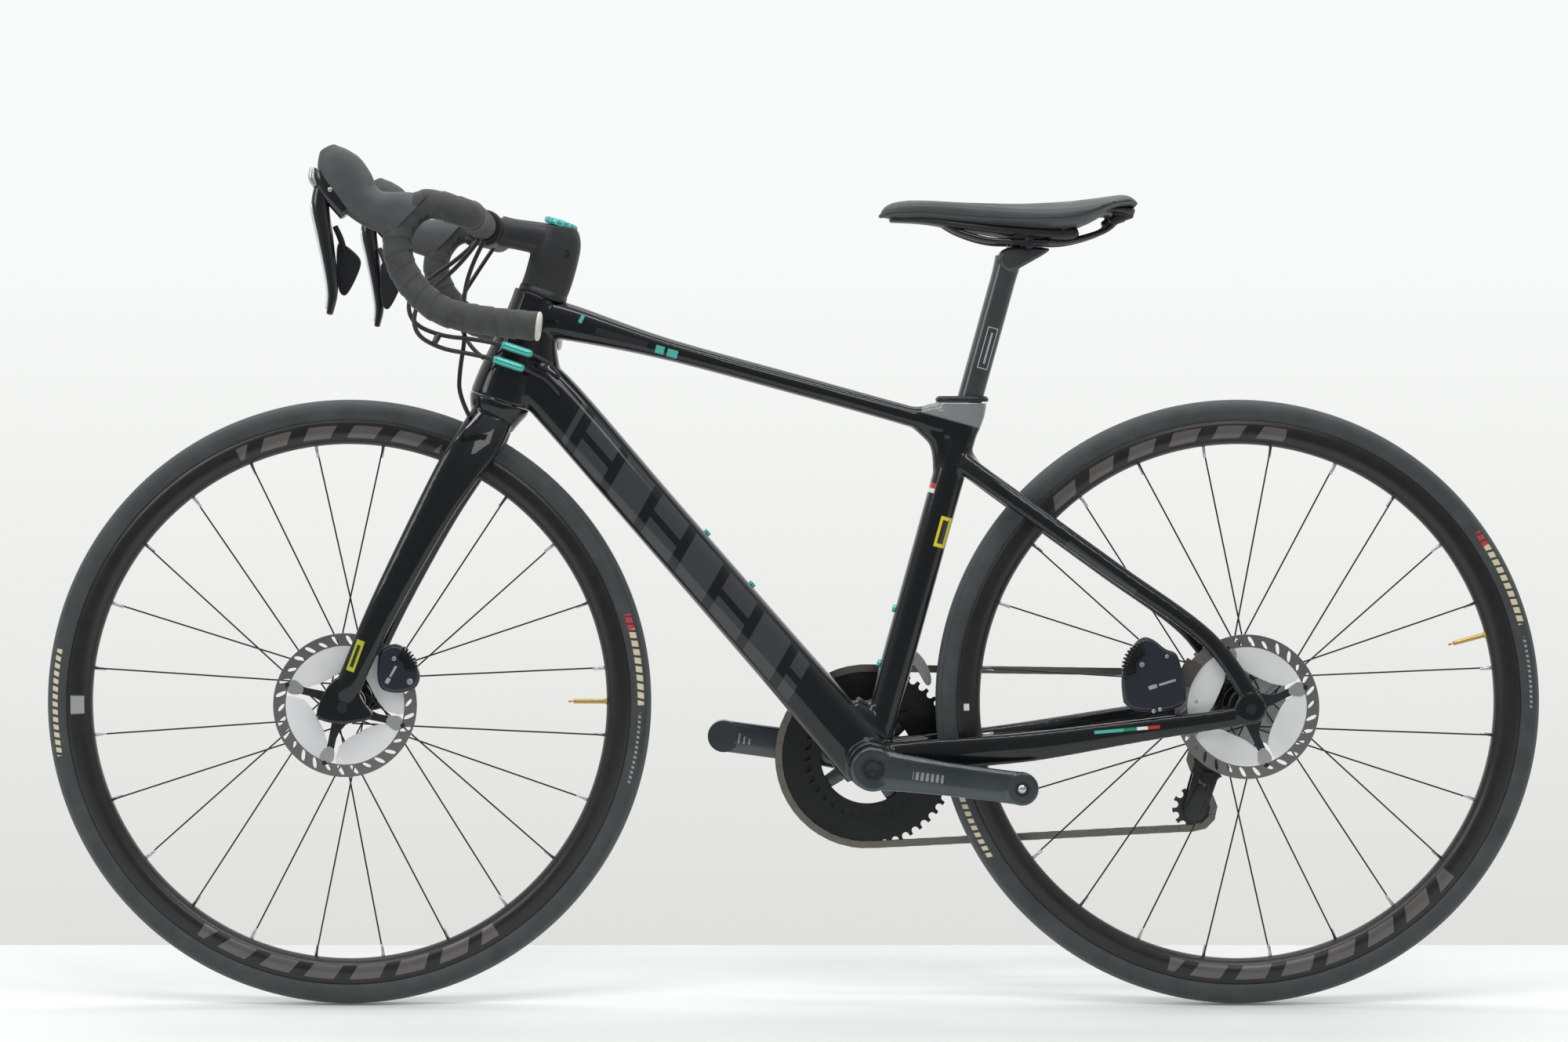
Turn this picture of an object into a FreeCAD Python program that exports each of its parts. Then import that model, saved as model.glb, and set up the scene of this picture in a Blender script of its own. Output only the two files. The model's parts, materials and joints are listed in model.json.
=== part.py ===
"""Road bicycle: carbon frame and fork, disc-brake wheels, drop bar, levers, two-by-eleven drivetrain.

Frame of the part, in millimetres: +X runs from the front wheel to the rear wheel, +Z is up, and the
bicycle's left side faces -Y. The origin lies on the ground, midway between the two axles, in the
bicycle's centre plane.
Every sub-part is written to parts/NODE.step, where NODE is the Label of its object.
"""
import FreeCAD, Part
import Sketcher
import math
import os

from FreeCAD import Placement, Rotation, Vector

doc = FreeCAD.newDocument("road_bicycle")
sheet = doc.addObject("Spreadsheet::Sheet", "Sizes")

# word, value in millimetres, degrees or teeth, what it is
SIZES = [
    ("wheelbase", 1000, "axle to axle"),
    ("tyre_outer", 340, "tyre tread radius, a 28 mm tyre on a 622 mm rim"),
    ("tyre_section", 14, "tyre section radius"),
    ("tyre_hollow", 12, "radius of the air space in the tyre"),
    ("head_angle", 71, "steering axis from the ground"),
    ("seat_angle", 74.5, "seat tube from the ground"),
    ("fork_rake", 50, "axle in front of the steering axis"),
    ("bottom_drop", 68, "crank axle below the wheel axles"),
    ("chainstay_length", 420, "crank axle to rear axle"),
    ("front_hub_width", 100, "between the fork dropouts"),
    ("rear_hub_width", 142, "between the rear dropouts"),
    ("spoke_count", 24, "spokes in each wheel"),
    ("spoke_radius", 0.9, "spoke wire"),
    ("rim_edge", 317, "radius of the rim at the tyre"),
    ("rim_inner", 290, "radius of the rim's inner wall"),
    ("rim_bed", 305, "radius of the rim's bed under the tyre"),
    ("rim_half_edge", 11.2, "half width at the tyre"),
    ("rim_half_mid", 12.2, "half width at the widest"),
    ("rim_mid", 305.5, "radius of the widest place"),
    ("rim_half_inner", 4.5, "half width of the inner wall"),
    ("rim_hook", 9.2, "half width between the hooks"),
    ("rotor_outer", 80, "brake rotor radius"),
    ("rotor_track", 66, "inner radius of the brake track"),
    ("rotor_half", 0.9, "half of the rotor's thickness"),
    ("front_rotor_side", 39.5, "front rotor left of the centre plane"),
    ("rear_rotor_side", 55.7, "rear rotor left of the centre plane"),
    ("hub_axle", 6, "through-axle radius"),
    ("axle_bore", 6.3, "radius of the holes that the axles run in"),
    ("shell_half", 43.25, "half width of the bottom bracket shell"),
    ("shell_outer", 26, "bottom bracket shell radius"),
    ("shell_bore", 20.5, "bottom bracket shell bore"),
    ("spindle_outer", 12, "crank spindle radius"),
    ("crank_length", 165, "crank axle to pedal axle"),
    ("pedal_thread", 7.14, "pedal hole radius, 9/16 inch thread"),
    ("crank_droop", 7.2, "left crank below the horizontal at rest"),
    ("big_ring", 50, "teeth"),
    ("small_ring", 34, "teeth"),
    ("big_ring_side", 46.5, "big ring right of the centre plane"),
    ("ring_pitch", 6.2, "between the two rings"),
    ("chain_pitch", 12.7, "roller to roller"),
    ("cog_used", 2, "the cog that the chain is on, counted from the smallest, starting at 0"),
    ("first_cog_side", 64, "smallest cog right of the centre plane"),
    ("cog_pitch", 3.74, "between neighbouring cogs"),
    ("pulley_teeth", 11, "teeth of each derailleur pulley"),
    ("steerer", 14.3, "steerer tube radius"),
    ("crown_height", 375, "front axle to the lower headset, along the steering axis"),
    ("head_length", 128, "head tube"),
    ("bar_radius", 12, "handlebar at the grips"),
    ("bar_clamp_radius", 15.9, "handlebar at the stem"),
    ("stem_length", 78, "steering axis to the bar"),
    ("stem_rise", 13, "stem above the horizontal"),
    ("tape_radius", 15.6, "bar tape over the bar"),
    ("hose_radius", 2.5, "brake hoses and shift housings"),
    ("post_depth", 14.4, "seatpost, half of its fore and aft size"),
    ("post_width", 13.4, "seatpost, half of its side to side size"),
]

for row, (word, value, meaning) in enumerate(SIZES, 1):
    sheet.set(f"A{row}", str(value))
    sheet.setAlias(f"A{row}", word)
    sheet.set(f"B{row}", meaning)
doc.recompute()


def size(word):
    return float(sheet.get(word))


# ---------------------------------------------------------------- places that follow from the sizes
AXLE_Z = size("tyre_outer")
FRONT = Vector(-size("wheelbase") / 2, 0, AXLE_Z)
REAR = Vector(size("wheelbase") / 2, 0, AXLE_Z)
CRANK = Vector(
    REAR.x - math.sqrt(size("chainstay_length") ** 2 - size("bottom_drop") ** 2),
    0,
    AXLE_Z - size("bottom_drop"),
)
HEAD = math.radians(size("head_angle"))
SEAT = math.radians(size("seat_angle"))
STEER_UP = Vector(math.cos(HEAD), 0, math.sin(HEAD))
STEER_BACK = Vector(math.sin(HEAD), 0, -math.cos(HEAD))
STEER_FOOT = FRONT + STEER_BACK * size("fork_rake")
SEAT_UP = Vector(math.cos(SEAT), 0, math.sin(SEAT))
SEAT_BACK = Vector(math.sin(SEAT), 0, -math.cos(SEAT))
LATERAL = Vector(0, 1, 0)
LEFT, RIGHT = -1, 1
CROWN_T = size("crown_height")
HEAD_TOP_T = CROWN_T + size("head_length")


def on_steerer(t, back=0, y=0):
    """The point t along the steering axis from the foot of the axle, back from the axis and y across."""
    return STEER_FOOT + STEER_UP * t + STEER_BACK * back + LATERAL * y


def on_seat_tube(t, back=0, y=0):
    return CRANK + SEAT_UP * t + SEAT_BACK * back + LATERAL * y


# ---------------------------------------------------------------- building helpers
nodes = []


def node(label, *objects):
    """One named sub-part, from one object or from several separate solids."""
    if len(objects) == 1:
        whole = objects[0]
    else:
        whole = doc.addObject("Part::Compound", label)
        whole.Links = list(objects)
    whole.Label = label
    nodes.append(whole)
    return whole


def feature(label, shape):
    made = doc.addObject("Part::Feature", label)
    made.Shape = shape
    return made


def bound(made, **formulas):
    """Binds an object's properties to the sheet."""
    for name, formula in formulas.items():
        made.setExpression(name, formula)
    return made


def along(axis, at, roll=0):
    """A placement that turns +Z to axis and starts at the point at."""
    return Placement(at, Rotation(Vector(0, 0, 1), axis) * Rotation(Vector(0, 0, 1), roll))


def rod(label, radius, height, at, axis=LATERAL):
    """A cylinder whose radius and height are formulas of the sheet."""
    made = doc.addObject("Part::Cylinder", label)
    bound(made, Radius=radius, Height=height)
    made.Placement = along(axis, at)
    return made


def cut(label, base, tool):
    made = doc.addObject("Part::Cut", label)
    made.Base, made.Tool = base, tool
    return made


def tube_shape(outer, inner, height, at, axis=LATERAL):
    return Part.makeCylinder(outer, height, at, axis).cut(Part.makeCylinder(inner, height, at, axis))


def bar(start, end, radius):
    return Part.makeCylinder(radius, (end - start).Length, start, end - start)


def centred(radius, half, at, axis=LATERAL):
    """A cylinder that reaches half to each side of at."""
    return Part.makeCylinder(radius, 2 * half, at - axis * half, axis)


def turned(label, corners, at):
    """A body turned about the lateral axis.

    Each corner is (word of its radius, signed word of its place across).
    """
    body = doc.addObject("PartDesign::Body", label)
    sketch = body.newObject("Sketcher::SketchObject", label + "_profile")
    plane = [f for f in body.Origin.OriginFeatures if f.Role == "XY_Plane"][0]
    sketch.AttachmentSupport = [(plane, "")]
    sketch.MapMode = "FlatFace"
    points = []
    for radius, across in corners:
        sign = -1 if across.startswith("-") else 1
        points.append(Vector(size(radius), sign * size(across.lstrip("-")), 0))
    count = len(points)
    for i in range(count):
        sketch.addGeometry(Part.LineSegment(points[i], points[(i + 1) % count]), False)
    for i in range(count):
        sketch.addConstraint(Sketcher.Constraint("Coincident", i, 2, (i + 1) % count, 1))
    for i, (radius, across) in enumerate(corners):
        index = sketch.addConstraint(Sketcher.Constraint("DistanceX", -1, 1, i, 1, points[i].x))
        sketch.setExpression(f"Constraints[{index}]", f"Sizes.{radius}")
        ends = (i, 1, -1, 1) if across.startswith("-") else (-1, 1, i, 1)
        index = sketch.addConstraint(Sketcher.Constraint("DistanceY", *ends, abs(points[i].y)))
        sketch.setExpression(f"Constraints[{index}]", "Sizes." + across.lstrip("-"))
    turn = body.newObject("PartDesign::Revolution", label + "_turn")
    turn.Profile = sketch
    turn.ReferenceAxis = (sketch, ["V_Axis"])
    turn.Angle = 360
    body.Placement = Placement(at, Rotation())
    doc.recompute()
    return body


def section(centre, up, across, half_up, half_across, power=2.0, count=20):
    """A closed smooth outline about centre: an ellipse at power 2, and squarer above it."""
    points = []
    for i in range(count):
        a = 2 * math.pi * i / count
        c, s = math.cos(a), math.sin(a)
        u = math.copysign(abs(c) ** (2 / power), c) * half_up
        v = math.copysign(abs(s) ** (2 / power), s) * half_across
        points.append(centre + up * u + across * v)
    curve = Part.BSplineCurve()
    curve.interpolate(points, PeriodicFlag=True)
    return Part.Wire([curve.toShape()])


def lofted(stations, power=2.0, across=LATERAL):
    """A solid through stations of (centre, half height, half width).

    Each outline stands square to the path.
    """
    wires = []
    last = len(stations) - 1
    for i, station in enumerate(stations):
        centre, half_up, half_across = station[:3]
        p = station[3] if len(station) > 3 else power
        ahead = stations[min(i + 1, last)][0] - stations[max(i - 1, 0)][0]
        ahead.normalize()
        up = ahead.cross(across)
        up.normalize()
        wires.append(section(centre, up, ahead.cross(up), half_up, half_across, p))
    return Part.makeLoft(wires, True, False)


def rounded_plate(outline, radii, thickness, across):
    """The outer hull of discs joined by straight sides: each disc is (x, z) with its radius."""
    count = len(outline)
    edges = []
    ends = []
    for i in range(count):
        a, b = Vector(outline[i][0], 0, outline[i][1]), Vector(outline[(i + 1) % count][0], 0,
            outline[(i + 1) % count][1])
        ra, rb = radii[i], radii[(i + 1) % count]
        d = b - a
        turn = math.atan2(d.z, d.x) + math.asin((ra - rb) / d.Length)
        out = Vector(math.sin(turn), 0, -math.cos(turn))
        ends.append((a + out * ra, b + out * rb, out))
    for i in range(count):
        start, end, out = ends[i]
        nxt = ends[(i + 1) % count]
        edges.append(Part.LineSegment(start, end).toShape())
        centre = Vector(outline[(i + 1) % count][0], 0, outline[(i + 1) % count][1])
        middle = out + nxt[2]
        if middle.Length < 1e-6:
            middle = Vector(-out.z, 0, out.x) * -1
        middle.normalize()
        r = radii[(i + 1) % count]
        if (nxt[0] - end).Length > 1e-6:
            edges.append(Part.Arc(end, centre + middle * r, nxt[0]).toShape())
    face = Part.Face(Part.Wire(edges))
    face.translate(Vector(0, across, 0))
    return face.extrude(Vector(0, thickness, 0))


def cord_tube(route, radius):
    """A tube along straight runs joined by tangent arcs, each as large as its two runs allow."""
    points = [Vector(*p) for p in route]
    edges, start = [], points[0]
    for i in range(1, len(points) - 1):
        back = points[i - 1] - points[i]
        ahead = points[i + 1] - points[i]
        turn = math.pi - back.getAngle(ahead)
        reach = 0.45 * min(back.Length, ahead.Length)
        back.normalize()
        ahead.normalize()
        enter, leave = points[i] + back * reach, points[i] + ahead * reach
        bend = reach / math.tan(turn / 2)
        inward = back + ahead
        inward.normalize()
        middle = points[i] + inward * (bend / math.cos(turn / 2) - bend)
        edges.append(Part.LineSegment(start, enter).toShape())
        edges.append(Part.Arc(enter, middle, leave).toShape())
        start = leave
    edges.append(Part.LineSegment(start, points[-1]).toShape())
    path = Part.Wire(edges)
    ring = Part.Wire(Part.makeCircle(radius, points[0], points[1] - points[0]))
    solid = path.makePipeShell([ring], True, True)
    expected = math.pi * radius ** 2 * path.Length
    assert abs(solid.Volume / expected - 1) < 0.01, "a cord's tube lost volume"
    return solid


def mirrored(shape):
    """The same shape on the other side of the centre plane."""
    return shape.mirror(Vector(0, 0, 0), LATERAL)


# ---------------------------------------------------------------- wheels
def tyre(label, centre):
    """A tyre: a hollow ring, open where it sits on the rim."""
    outer = doc.addObject("Part::Torus", label + "_outside")
    bound(outer, Radius1="Sizes.tyre_outer - Sizes.tyre_section", Radius2="Sizes.tyre_section")
    inner = doc.addObject("Part::Torus", label + "_air")
    bound(inner, Radius1="Sizes.tyre_outer - Sizes.tyre_section", Radius2="Sizes.tyre_hollow")
    for ring in (outer, inner):
        ring.Placement = along(LATERAL, centre)
    well = rod(label + "_well", "Sizes.rim_edge", "60", centre - LATERAL * 30)
    return node(label, cut(label, cut(label + "_ring", outer, inner), well))


def rim(label, centre):
    corners = [
        ("rim_edge", "rim_half_edge"), ("rim_mid", "rim_half_mid"), ("rim_inner", "rim_half_inner"),
        ("rim_inner", "-rim_half_inner"), ("rim_mid", "-rim_half_mid"), ("rim_edge", "-rim_half_edge"),
        ("rim_edge", "-rim_hook"), ("rim_bed", "-rim_hook"), ("rim_bed", "rim_hook"),
            ("rim_edge", "rim_hook"),
    ]
    return turned(label, corners, centre)


def polar(centre, radius, angle, y=0):
    """A point at a radius and an angle in degrees about a lateral axis through centre, y from its plane."""
    a = math.radians(angle)
    return centre + Vector(radius * math.cos(a), y, radius * math.sin(a))


def spokes(label, centre, flange, left_side, right_side):
    """Tangent spokes: neighbours go to opposite flanges, and leave them forwards and backwards in turn."""
    count = int(size("spoke_count"))
    clear = size("spoke_radius") + 0.6
    rods = []
    for i in range(count):
        side = left_side if i % 2 else right_side
        lead = 1 if i % 4 < 2 else -1
        at_rim = polar(centre, size("rim_inner") - 0.8, 360 / count * (i + 0.5), math.copysign(2, side))
        at_hub = polar(centre, flange + clear, 360 / count * (i + 0.5) + 68 * lead, side + 1.5 * lead)
        rods.append(bar(at_hub, at_rim, size("spoke_radius")))
    return node(label, *[feature(f"{label}_{i}", r) for i, r in enumerate(rods)])


def valve(label, centre, angle):
    """The valve's stem, which stands on the rim's inner wall."""
    foot = polar(centre, size("rim_inner") - 0.2, angle)
    return feature(label, bar(foot, polar(centre, size("rim_inner") - 42, angle), 2.8))


def hub(label, centre, profile):
    """A hub shell turned from (radius, place across) steps, with the axle's bore."""
    shape = None
    for (radius, start), (_, end) in zip(profile, profile[1:]):
        step = Part.makeCylinder(radius, end - start, centre + LATERAL * start, LATERAL)
        shape = step if shape is None else shape.fuse(step)
    bore = Part.makeCylinder(size("axle_bore"), 400, centre - LATERAL * 200, LATERAL)
    return node(label, feature(label, shape.removeSplitter().cut(bore)))


def rotor(label, centre, y, arms, turn):
    """A brake disc: the steel track, and its carrier's arms and ring on the hub."""
    half = size("rotor_half")
    at = centre + LATERAL * y
    shape = centred(size("rotor_outer"), half, at).cut(centred(size("rotor_track"), half + 1, at))
    carrier = centred(24, half + 0.5, at)
    for i in range(arms):
        a = turn + 360 / arms * i
        arm = Part.makeBox(size("rotor_track") - 18, 2 * half, 9, Vector(20, -half, -4.5))
        arm.Placement = Placement(at, Rotation(LATERAL, -a))
        carrier = carrier.fuse(arm)
    shape = shape.fuse(carrier).removeSplitter()
    return node(label, feature(label, shape.cut(centred(16, 30, at))))


FRONT_FLANGE, REAR_FLANGE = 21, 23
HUB_GAP = 0.4
FRONT_END = size("front_hub_width") / 2 - HUB_GAP
REAR_END = size("rear_hub_width") / 2 - HUB_GAP
FREEHUB_START = 22.5
FRONT_ROTOR_Y, REAR_ROTOR_Y = -size("front_rotor_side"), -size("rear_rotor_side")

tyre("front_tyre", FRONT)
node("front_rim", rim("front_rim_hoop", FRONT), valve("front_valve", FRONT, 0))
spokes("front_spokes", FRONT, FRONT_FLANGE, -24, 33)
hub("front_hub", FRONT, [
    (10, -FRONT_END), (16, -44), (FRONT_FLANGE, -26.5), (11, -21.5), (FRONT_FLANGE, 30.5), (13, 35.5),
        (10, 42),
    (10, FRONT_END),
])
rotor("front_rotor", FRONT, FRONT_ROTOR_Y, 4, 73)

tyre("rear_tyre", REAR)
node("rear_rim", rim("rear_rim_hoop", REAR), valve("rear_valve", REAR, 15))
spokes("rear_spokes", REAR, REAR_FLANGE, -36, 17)
hub("rear_hub", REAR, [
    (10, -REAR_END), (16, -61), (REAR_FLANGE, -38.5), (13, -33.5), (REAR_FLANGE, 14.5), (14, 19.5),
    (14, FREEHUB_START - HUB_GAP),
])
rotor("rear_rotor", REAR, REAR_ROTOR_Y, 4, 21)

node("front_thru_axle", rod("front_thru_axle", "Sizes.hub_axle", "Sizes.front_hub_width + 26",
                            FRONT - LATERAL * (size("front_hub_width") / 2 + 13)))
node("rear_thru_axle", rod("rear_thru_axle", "Sizes.hub_axle", "Sizes.rear_hub_width + 20",
                           REAR - LATERAL * (size("rear_hub_width") / 2 + 9)))

# ---------------------------------------------------------------- chain and sprockets
ROLLER, ROLLER_SEAT = 3.8, 4.05
INNER_PLATE, OUTER_PLATE = (1.15, 1.7), (2.1, 2.7)
PIN, PIN_HOLE = 1.7, 1.9
PLATE_RADIUS = 4.0
TOOTH_TIP = 2.4
CHAIN_LEAD = 3  # links that stay in a sprocket's plane before the run goes across
COGS = [11, 12, 13, 14, 16, 18, 20, 22, 25, 28, 32]
DRIVE_COG = int(size("cog_used"))
CHAIN_Y = size("first_cog_side") - DRIVE_COG * size("cog_pitch")
GUIDE = Vector(480, CHAIN_Y, 268)
TENSION = Vector(462, CHAIN_Y, 211)


def pitch_radius(teeth):
    return size("chain_pitch") / (2 * math.sin(math.pi / teeth))


def wrap(teeth, centre, sense, last, following):
    """Where the chain meets a sprocket: rollers from its entry to its exit, as angles in degrees.

    last and following are (centre, pitch radius, sense) of the sprockets before and after it. The sense is 1
    where the chain goes round with growing angles and -1 the other way.
    """
    radius = pitch_radius(teeth)

    def leaves(a, ra, sa, b, rb, sb):
        """Angle of the tangent point on circle a for the run from a to b."""
        dx, dz = b.x - a.x, b.z - a.z
        away = math.hypot(dx, dz)
        heading = math.atan2(dz, dx)
        swing = math.asin((sa * ra - sb * rb) / away)
        return heading + swing - sa * math.pi / 2

    enter = leaves(last[0], last[1], last[2], centre, radius, sense)
    enter += 0 if last[2] == sense else math.pi
    leave = leaves(centre, radius, sense, *following)
    span = (sense * (leave - enter)) % (2 * math.pi)
    step = 2 * math.pi / teeth
    steps = math.ceil(span / step)
    start = enter - sense * (steps * step - span) / 2
    return [math.degrees(start + sense * step * i) for i in range(steps + 1)]


def chain_rollers():
    """Every roller's place round the loop, and the angle of one tooth gap of each sprocket in it."""
    ring_centre = CRANK + LATERAL * size("big_ring_side")
    cog_centre = REAR + LATERAL * CHAIN_Y
    # the chain comes off the ring's foot, passes the pulleys and the cog, and returns along the top
    loop = [
        (int(size("big_ring")), ring_centre, 1),
        (int(size("pulley_teeth")), TENSION, 1),
        (int(size("pulley_teeth")), GUIDE, -1),
        (COGS[DRIVE_COG], cog_centre, 1),
    ]
    circles = [(c, pitch_radius(n), s) for n, c, s in loop]
    count = len(loop)
    angles = [
        wrap(loop[i][0], loop[i][1], loop[i][2], circles[i - 1],
            circles[(i + 1) % count]) for i in range(count)
    ]
    arcs = [[polar(c, r, a) for a in angles[i]] for i, (c, r, _) in enumerate(circles)]
    runs = []
    for i in range(count):
        start, end = arcs[i][-1], arcs[(i + 1) % count][0]
        runs.append((start, end, max(1, round((end - start).Length / size("chain_pitch")))))
    total = sum(len(a) - 1 for a in arcs) + sum(n for _, _, n in runs)
    if total % 2:
        longest = max(range(count), key=lambda i: (runs[i][1] - runs[i][0]).Length)
        start, end, n = runs[longest]
        more = (end - start).Length / n > size("chain_pitch")
        runs[longest] = (start, end, n + 1 if more else n - 1)
    rollers = []
    for arc, (start, end, n) in zip(arcs, runs):
        rollers += arc[:-1]
        for i in range(n):
            roller = start + (end - start) * (i / n)
            roller.y = start.y + (end.y - start.y) * min(1,
                max(0, (i - CHAIN_LEAD) / max(1, n - 2 * CHAIN_LEAD)))
            rollers.append(roller)
    return rollers, [a[0] for a in angles]


def link_plate(a, b, radius, near, far):
    """One plate of a link between two roller centres, from near to far across, on the side of their signs."""
    run = Vector(b.x - a.x, 0, b.z - a.z)
    side = Vector(-run.z, 0, run.x).normalize() * radius
    low, high = min(near, far), max(near, far)
    skew = Vector(0, low, 0)
    a, b = a + skew, b + skew
    b.y = a.y
    mid_a, mid_b = a - run.normalize() * radius, b + run.normalize() * radius
    edges = [
        Part.LineSegment(a + side, b + side).toShape(), Part.Arc(b + side, mid_b, b - side).toShape(),
        Part.LineSegment(b - side, a - side).toShape(), Part.Arc(a - side, mid_a, a + side).toShape(),
    ]
    return Part.Face(Part.Wire(edges)).extrude(Vector(0, high - low, 0))


def chain_link(a, b, outer):
    """One link: two plates with the pins, or with the bushes and rollers."""
    near, far = OUTER_PLATE if outer else INNER_PLATE
    y = (a.y + b.y) / 2
    a, b = Vector(a.x, y, a.z), Vector(b.x, y, b.z)
    link = link_plate(a, b, PLATE_RADIUS, near, far).fuse(link_plate(a, b, PLATE_RADIUS, -far, -near))
    for end in (a, b):
        link = link.fuse(centred(PIN if outer else ROLLER, far if outer else near, end))
        if not outer:
            link = link.cut(centred(PIN_HOLE, far + 1, end))
    return link


def sprocket(teeth, centre, y, half, bore, gap_angle=0, passing=()):
    """A toothed disc. One of its roller seats is at gap_angle, and it clears the rollers that pass it."""
    at = Vector(centre.x, y - half, centre.z)
    radius = pitch_radius(teeth)
    disc = Part.Face(Part.Wire(Part.makeCircle(radius + TOOTH_TIP, at, LATERAL)))
    seats = []
    for i in range(teeth):
        seat = polar(at, radius, gap_angle + 360 / teeth * i)
        mouth = polar(at, radius + 5, gap_angle + 360 / teeth * i)
        wide = (mouth - seat).cross(LATERAL).normalize()
        ring = Part.Face(Part.Wire(Part.makeCircle(ROLLER_SEAT, seat, LATERAL)))
        corners = [seat + wide * ROLLER_SEAT, mouth + wide * 5, mouth - wide * 5,
            seat - wide * ROLLER_SEAT]
        seats += [ring, Part.Face(Part.makePolygon(corners + corners[:1]))]
    for roller in passing:
        place = Vector(roller.x, at.y, roller.z)
        if radius < (place - at).Length < radius + 10:
            seats.append(Part.Face(Part.Wire(Part.makeCircle(ROLLER_SEAT, place, LATERAL))))
    hole = Part.Face(Part.Wire(Part.makeCircle(bore, at, LATERAL)))
    return disc.cut(seats + [hole]).extrude(LATERAL * (2 * half))


rollers, gap_angles = chain_rollers()
RING_GAP, TENSION_GAP, GUIDE_GAP, COG_GAP = gap_angles
links = [
    feature(f"chain_link_{i}", chain_link(roller, rollers[(i + 1) % len(rollers)], i % 2 == 0))
    for i, roller in enumerate(rollers)
]
node("chain", *links)

FREEHUB_RADIUS = 17
freehub = tube_shape(FREEHUB_RADIUS, size("axle_bore"), REAR_END - FREEHUB_START,
    REAR + LATERAL * FREEHUB_START)
cogs = [feature("freehub", freehub)]
for i, teeth in enumerate(COGS):
    y = size("first_cog_side") - i * size("cog_pitch")
    cog = sprocket(teeth, REAR, y, 0.8, FREEHUB_RADIUS, COG_GAP if i == DRIVE_COG else 0,
                   rollers if i == DRIVE_COG else ())
    cogs.append(feature(f"cog_{teeth}", cog))
node("cassette", *cogs)

# ---------------------------------------------------------------- cranks and rings
RING_BORE = 62
ARM_Y, PEDAL_Y = 63, 70
ARM_THICK = 13
ARM_ROOT_RADIUS, ARM_EYE_RADIUS = 24.6, 18.3


def crank_arm(side, angle):
    """An arm from the crank axle to its pedal eye, with the eye's thread and the axle's hole."""
    eye = polar(CRANK, size("crank_length"), angle, side * PEDAL_Y)
    root = CRANK + LATERAL * (side * ARM_Y)
    run = eye - root
    stations = [
        (root, 24, 7.5),
        (root + run * 0.18, 21, 7.2),
        (root + run * 0.5, 18.5, 6.4),
        (root + run * 0.85, 18, 6),
        (eye, 18, 6),
    ]
    arm = lofted(stations, power=3.2)
    arm = arm.fuse(centred(ARM_ROOT_RADIUS, 8.5, root)).fuse(centred(ARM_EYE_RADIUS, ARM_THICK / 2, eye))
    return arm.cut(centred(size("pedal_thread"), 30, eye))


RIGHT_ANGLE, LEFT_ANGLE = 180 - size("crank_droop"), -size("crank_droop")
spindle = centred(size("spindle_outer"), ARM_Y + 8.5, CRANK)
left_arm = crank_arm(LEFT, LEFT_ANGLE).cut(spindle)
node("crank_arm_left", feature("crank_arm_left", left_arm))
spider = centred(24, 3.5, CRANK + LATERAL * 47)
for turn in (40, 130, 230, 320):
    a = RIGHT_ANGLE + turn
    foot = CRANK + LATERAL * 47
    leg = [
        (polar(foot, 10, a), 9, 3.2),
        (polar(foot, 40, a), 8, 3.0),
        (polar(foot, RING_BORE - 0.05, a), 7, 2.8),
    ]
    spider = spider.fuse(lofted(leg, power=4))
spider = spider.common(centred(RING_BORE - 0.05, 20, CRANK + LATERAL * 47))
spider = spider.fuse(centred(20, 6, CRANK + LATERAL * 52))
right_arm = crank_arm(RIGHT, RIGHT_ANGLE).cut(spider)
spindle = max(spindle.cut(spider).Solids, key=lambda s: s.Volume)
node(
    "crank_arm_right",
    feature("right_arm", right_arm),
    feature("spider", spider),
    feature("spindle", spindle),
)
big = sprocket(int(size("big_ring")), CRANK, size("big_ring_side"), 1.0, RING_BORE + 14, RING_GAP,
    rollers)
web = tube_shape(RING_BORE + 14, RING_BORE, 4.4, CRANK + LATERAL * (size("big_ring_side") - 2.2))
small_y = size("big_ring_side") - size("ring_pitch")
small = sprocket(int(size("small_ring")), CRANK, small_y, 1.0, RING_BORE - 9)
small = small.cut(centred(RING_BORE - 9, 4, CRANK + LATERAL * small_y))
node("chainrings", feature("big_ring", big.fuse(web).removeSplitter()), feature("small_ring", small))

# ---------------------------------------------------------------- frame
STEERER = size("steerer")
HEAD_TOP_RADIUS, HEAD_FOOT_RADIUS = 25, 32
BEARING_HEIGHT = 8
CROWN_ROOM, COVER_ROOM = 40, 28
DOWN_START = Vector(-283, 0, 696)
TOP_START, TOP_END = Vector(-262, 0, 772), Vector(190, 0, 647)
SEAT_TOP_T = 428
POST_CLEAR = 0.3


def lerp(a, b, share):
    return a + (b - a) * share


def tube(*stations, power=2.6):
    return lofted(list(stations), power=power)


def seat_section(half_back, half_across, start, length, power=2.6):
    """A straight tube along the seat angle with a rounded section."""
    outline = section(on_seat_tube(start), SEAT_BACK, LATERAL, half_back, half_across, power)
    return Part.Face(outline).extrude(SEAT_UP * length)


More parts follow.
